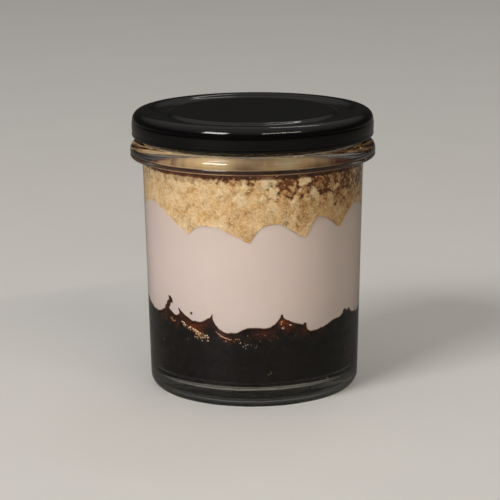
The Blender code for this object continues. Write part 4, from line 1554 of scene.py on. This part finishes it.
def make_crumbs(biscuit):
    """Every loose crumb: fine grains, broken bits and clumps, one piece of each."""
    shaper = random.Random(41)
    grain_shapes = [take_shape(model_crumb(n, 1, 0.22, 0, shaper)) for n in range(6)]
    bit_shapes = [take_shape(model_crumb(n + 20, 2, 0.12, 3, shaper)) for n in range(7)]
    clump_shapes = [take_shape(model_clump(n + 40, shaper)) for n in range(7)]
    draw = np.random.default_rng(43)
    grains = (
        wall_crumbs(draw, lambda *spots: 1.0 - 0.8 * open_shade(*spots), *WALL_GRAINS),
        heap_crumbs(draw, *HEAP_GRAINS),
    )
    bits = (
        wall_crumbs(draw, lambda *spots: 0.30 + 0.70 * coarseness(*spots), *WALL_BITS),
        heap_crumbs(draw, *HEAP_BITS),
    )
    clumps = (wall_crumbs(draw, coarseness, *WALL_CLUMPS), heap_clumps(*HEAP_CLUMPS))
    fine = strew("fine_crumbs", grain_shapes, grains, 101)
    broken = strew("broken_crumbs", bit_shapes, bits, 102)
    large = strew("crumb_clumps", clump_shapes, clumps, 103)
    finish = crumb_material("biscuit_crumbs", biscuit, False)
    fine.data.materials.append(finish)
    broken.data.materials.append(finish)
    finish_piece(large, 40.0, finish)
    return fine, broken, large


def along_line(corners, shares):
    """Angles and heights at shares of the way along a line of corners."""
    places = np.linspace(0.0, 1.0, len(corners))
    table = np.array(corners)
    return np.interp(shares, places, table[:, 0]), np.interp(shares, places, table[:, 1])


def hidden_glints():
    """Glint lines for the side away from the front, under its own lobes."""
    draw = random.Random(58)
    lines = []
    for lobe in FEET:
        if lobe[0] > HIDDEN_SIDE[0]:
            start = lobe[0] + draw.uniform(2.0, 5.0)
            corners = []
            for step in range(4):
                angle = start + step * draw.uniform(3.0, 5.0)
                drop = 0.0012 + 0.0009 * step
                corners.append((angle, float(line_at(FOOT_LINE, angle)) - drop))
            lines.append((corners, draw.randint(50, 130) // 2, 0.66, 0.00025, 0.0004))
    return lines


def make_glints(mottle):
    """Wet beads in the thin syrup just under the cream, glossy and painted bright as highlights."""
    shaper = random.Random(57)
    shapes = [take_shape(model_crumb(n + 60, 2, 0.05, 0, shaper)) for n in range(4)]
    draw = np.random.default_rng(59)
    groups, tones = [], []
    for corners, count, bright, size, stray in (*GLINT_LINES, *hidden_glints()):
        angles, heights = along_line(corners, draw.random(count))
        angles = angles + np.degrees(draw.normal(0.0, stray * 0.7, count) / WALL_RING)
        heights = heights + draw.normal(0.0, stray, count)
        heights = np.minimum(heights, line_at(FOOT_LINE, angles) - 0.0003)
        places = spread_round(inner_radius(heights) + GLINT_REACH, angles, heights)
        spark = draw.random(count) ** 1.6
        groups.append((places, size * (0.30 + 0.65 * spark)))
        tones.append(np.clip(bright * (0.42 + 1.25 * spark), 0.0, 1.0))
    angles, heights = np.array(GLINT_DOTS).T
    angles = np.concatenate([angles, draw.uniform(*HIDDEN_SIDE, HIDDEN_DOTS)])
    heights = np.concatenate([heights, draw.uniform(0.0080, 0.0260, HIDDEN_DOTS)])
    places = spread_round(inner_radius(heights) + GLINT_REACH, angles, heights)
    groups.append((places, draw.uniform(0.00010, 0.00016, len(angles))))
    tones.append(draw.uniform(0.85, 1.0, len(angles)))
    glints = strew("syrup_glints", shapes, groups, 104, np.concatenate(tones))
    finish_piece(glints, 80.0, glint_material(mottle))
    return glints


def all_flakes():
    """The front's flakes, and drawn ones at the partings of the hidden side."""
    draw = random.Random(31)
    marks = list(FLAKES)
    for lobe in FEET:
        if lobe[0] > HIDDEN_SIDE[0]:
            marks.append((
                lobe[0], lobe[1] + 0.0006, draw.uniform(0.0018, 0.0050),
                draw.uniform(0.0007, 0.0014), draw.uniform(-30.0, 30.0),
            ))
    for _ in range(12):
        angle = draw.uniform(*HIDDEN_FLAKES)
        marks.append((
            angle, float(line_at(FOOT_LINE, angle)) + draw.uniform(-0.0003, 0.0012),
            draw.uniform(0.0008, 0.0026), draw.uniform(0.0005, 0.0012), draw.uniform(-50.0, 50.0),
        ))
    return marks


def make_flakes(mottle):
    """Dark flakes of the base that stand in the cream against the glass."""
    shaper = random.Random(67)
    shapes = [take_shape(model_crumb(n + 80, 3, 0.05, 2, shaper)) for n in range(5)]
    corners, faces, count = [], [], 0
    for number, (angle, height, length, width, lean) in enumerate(all_flakes()):
        shape, triangles = shapes[number % len(shapes)]
        tip = math.radians(lean)
        across, along = shape[:, 0] * width / 2, shape[:, 2] * length / 2
        waist = 1.0 + 0.22 * np.sin(along / length * 5.0 + number)
        waist = waist * (1.0 - 0.35 * shape[:, 2] ** 2)
        sideways = across * waist * math.cos(tip) + along * math.sin(tip)
        upright = along * math.cos(tip) - across * waist * math.sin(tip)
        radii = inner_radius(height) + CREAM_REACH + 0.00004 + shape[:, 1] * FLAKE_THICKNESS / 2
        turn = angle + np.degrees(sideways / WALL_RING)
        points = spread_round(radii, turn, height + upright)
        corners.append(hold_at_wall(points, FLAKE_REACH))
        faces.append(triangles + count)
        count += len(shape)
    flakes = mesh_piece("base_flakes", np.concatenate(corners), np.concatenate(faces))
    finish_piece(flakes, 60.0, flake_material(mottle))
    return flakes


# Scene


def add_camera():
    """The photograph's camera."""
    data = bpy.data.cameras.new("camera")
    data.lens = CAMERA_LENS
    data.sensor_width = CAMERA_SENSOR
    data.shift_x, data.shift_y = PICTURE_SHIFT
    data.clip_start = 0.05
    camera = bpy.data.objects.new("camera", data)
    bpy.context.scene.collection.objects.link(camera)
    tilt = math.radians(CAMERA_TILT)
    aim = Vector((0.0, 0.0, CAMERA_AIM))
    back = Vector((0.0, -math.cos(tilt), math.sin(tilt)))
    camera.location = aim + back * CAMERA_DISTANCE
    facing = (-back).to_track_quat("-Z", "Y").to_matrix().to_4x4()
    rolled = facing @ Matrix.Rotation(-CAMERA_ROLL, 4, "Z")
    camera.rotation_euler = rolled.to_euler()
    bpy.context.scene.camera = camera


def add_light(name, angle, elevation, distance, size, power, colour):
    """A soft box at an angle from the front, turned towards the jar."""
    data = bpy.data.lights.new(name, "AREA")
    data.shape = "RECTANGLE"
    data.size, data.size_y = size
    data.energy = power
    data.color = colour
    lamp = bpy.data.objects.new(name, data)
    bpy.context.scene.collection.objects.link(lamp)
    lift = math.radians(elevation)
    away = around(math.cos(lift), angle, math.sin(lift))
    lamp.location = Vector((0.0, 0.0, SOFT_BOX_AIM)) + away * distance
    lamp.rotation_euler = (-away).to_track_quat("-Z", "Y").to_euler()


def add_surroundings(mottle):
    """Pale floor, soft studio light and a plain world."""
    deselect_all()
    bpy.ops.mesh.primitive_plane_add(size=FLOOR_SIZE, location=(0.0, 0.0, 0.0))
    floor = bpy.context.object
    floor.name = "studio_floor"
    floor.data.materials.append(floor_material(mottle))
    for box in SOFT_BOXES:
        add_light(*box)
    world = bpy.data.worlds.new("studio_air")
    world.use_nodes = True
    tree = world.node_tree
    direction = tree.nodes.new("ShaderNodeTexCoord").outputs["Generated"]
    height = put(tree, "ShaderNodeSeparateXYZ", Vector=direction).outputs["Z"]
    glow = fit_range(tree, height, *AIR_RISE, *AIR_GLOW)
    fill_in(tree, tree.nodes["Background"], {"Color": AIR_COLOUR, "Strength": glow})
    scene = bpy.context.scene
    scene.world = world
    scene.view_settings.view_transform = "Standard"
    scene.view_settings.look = "None"
    scene.view_settings.exposure = 0.0


def place_piece(piece, slot, *nodes):
    """Make a piece ride with the jar and hide the nodes it stands for; the slot is not used."""
    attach(piece, "root")
    if nodes:
        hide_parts(*nodes)


def build():
    """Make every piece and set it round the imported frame."""
    mottle, handling, biscuit = make_mottle(), make_handling(), make_biscuit()
    place_piece(make_jar(mottle), "clear_glass", "jar")
    place_piece(make_lid(mottle, handling), "black_lacquer", "lid")
    place_piece(make_base(mottle), "dark_syrup", "dark_base")
    place_piece(make_cream(mottle), "cream", "cream_layer")
    for piece in (make_core(biscuit), *make_crumbs(biscuit)):
        place_piece(piece, "biscuit_crumb", "crumb_topping")
    place_piece(make_glints(mottle), "dark_syrup")
    place_piece(make_flakes(mottle), "dark_syrup")
    add_surroundings(mottle)
    add_camera()


build()
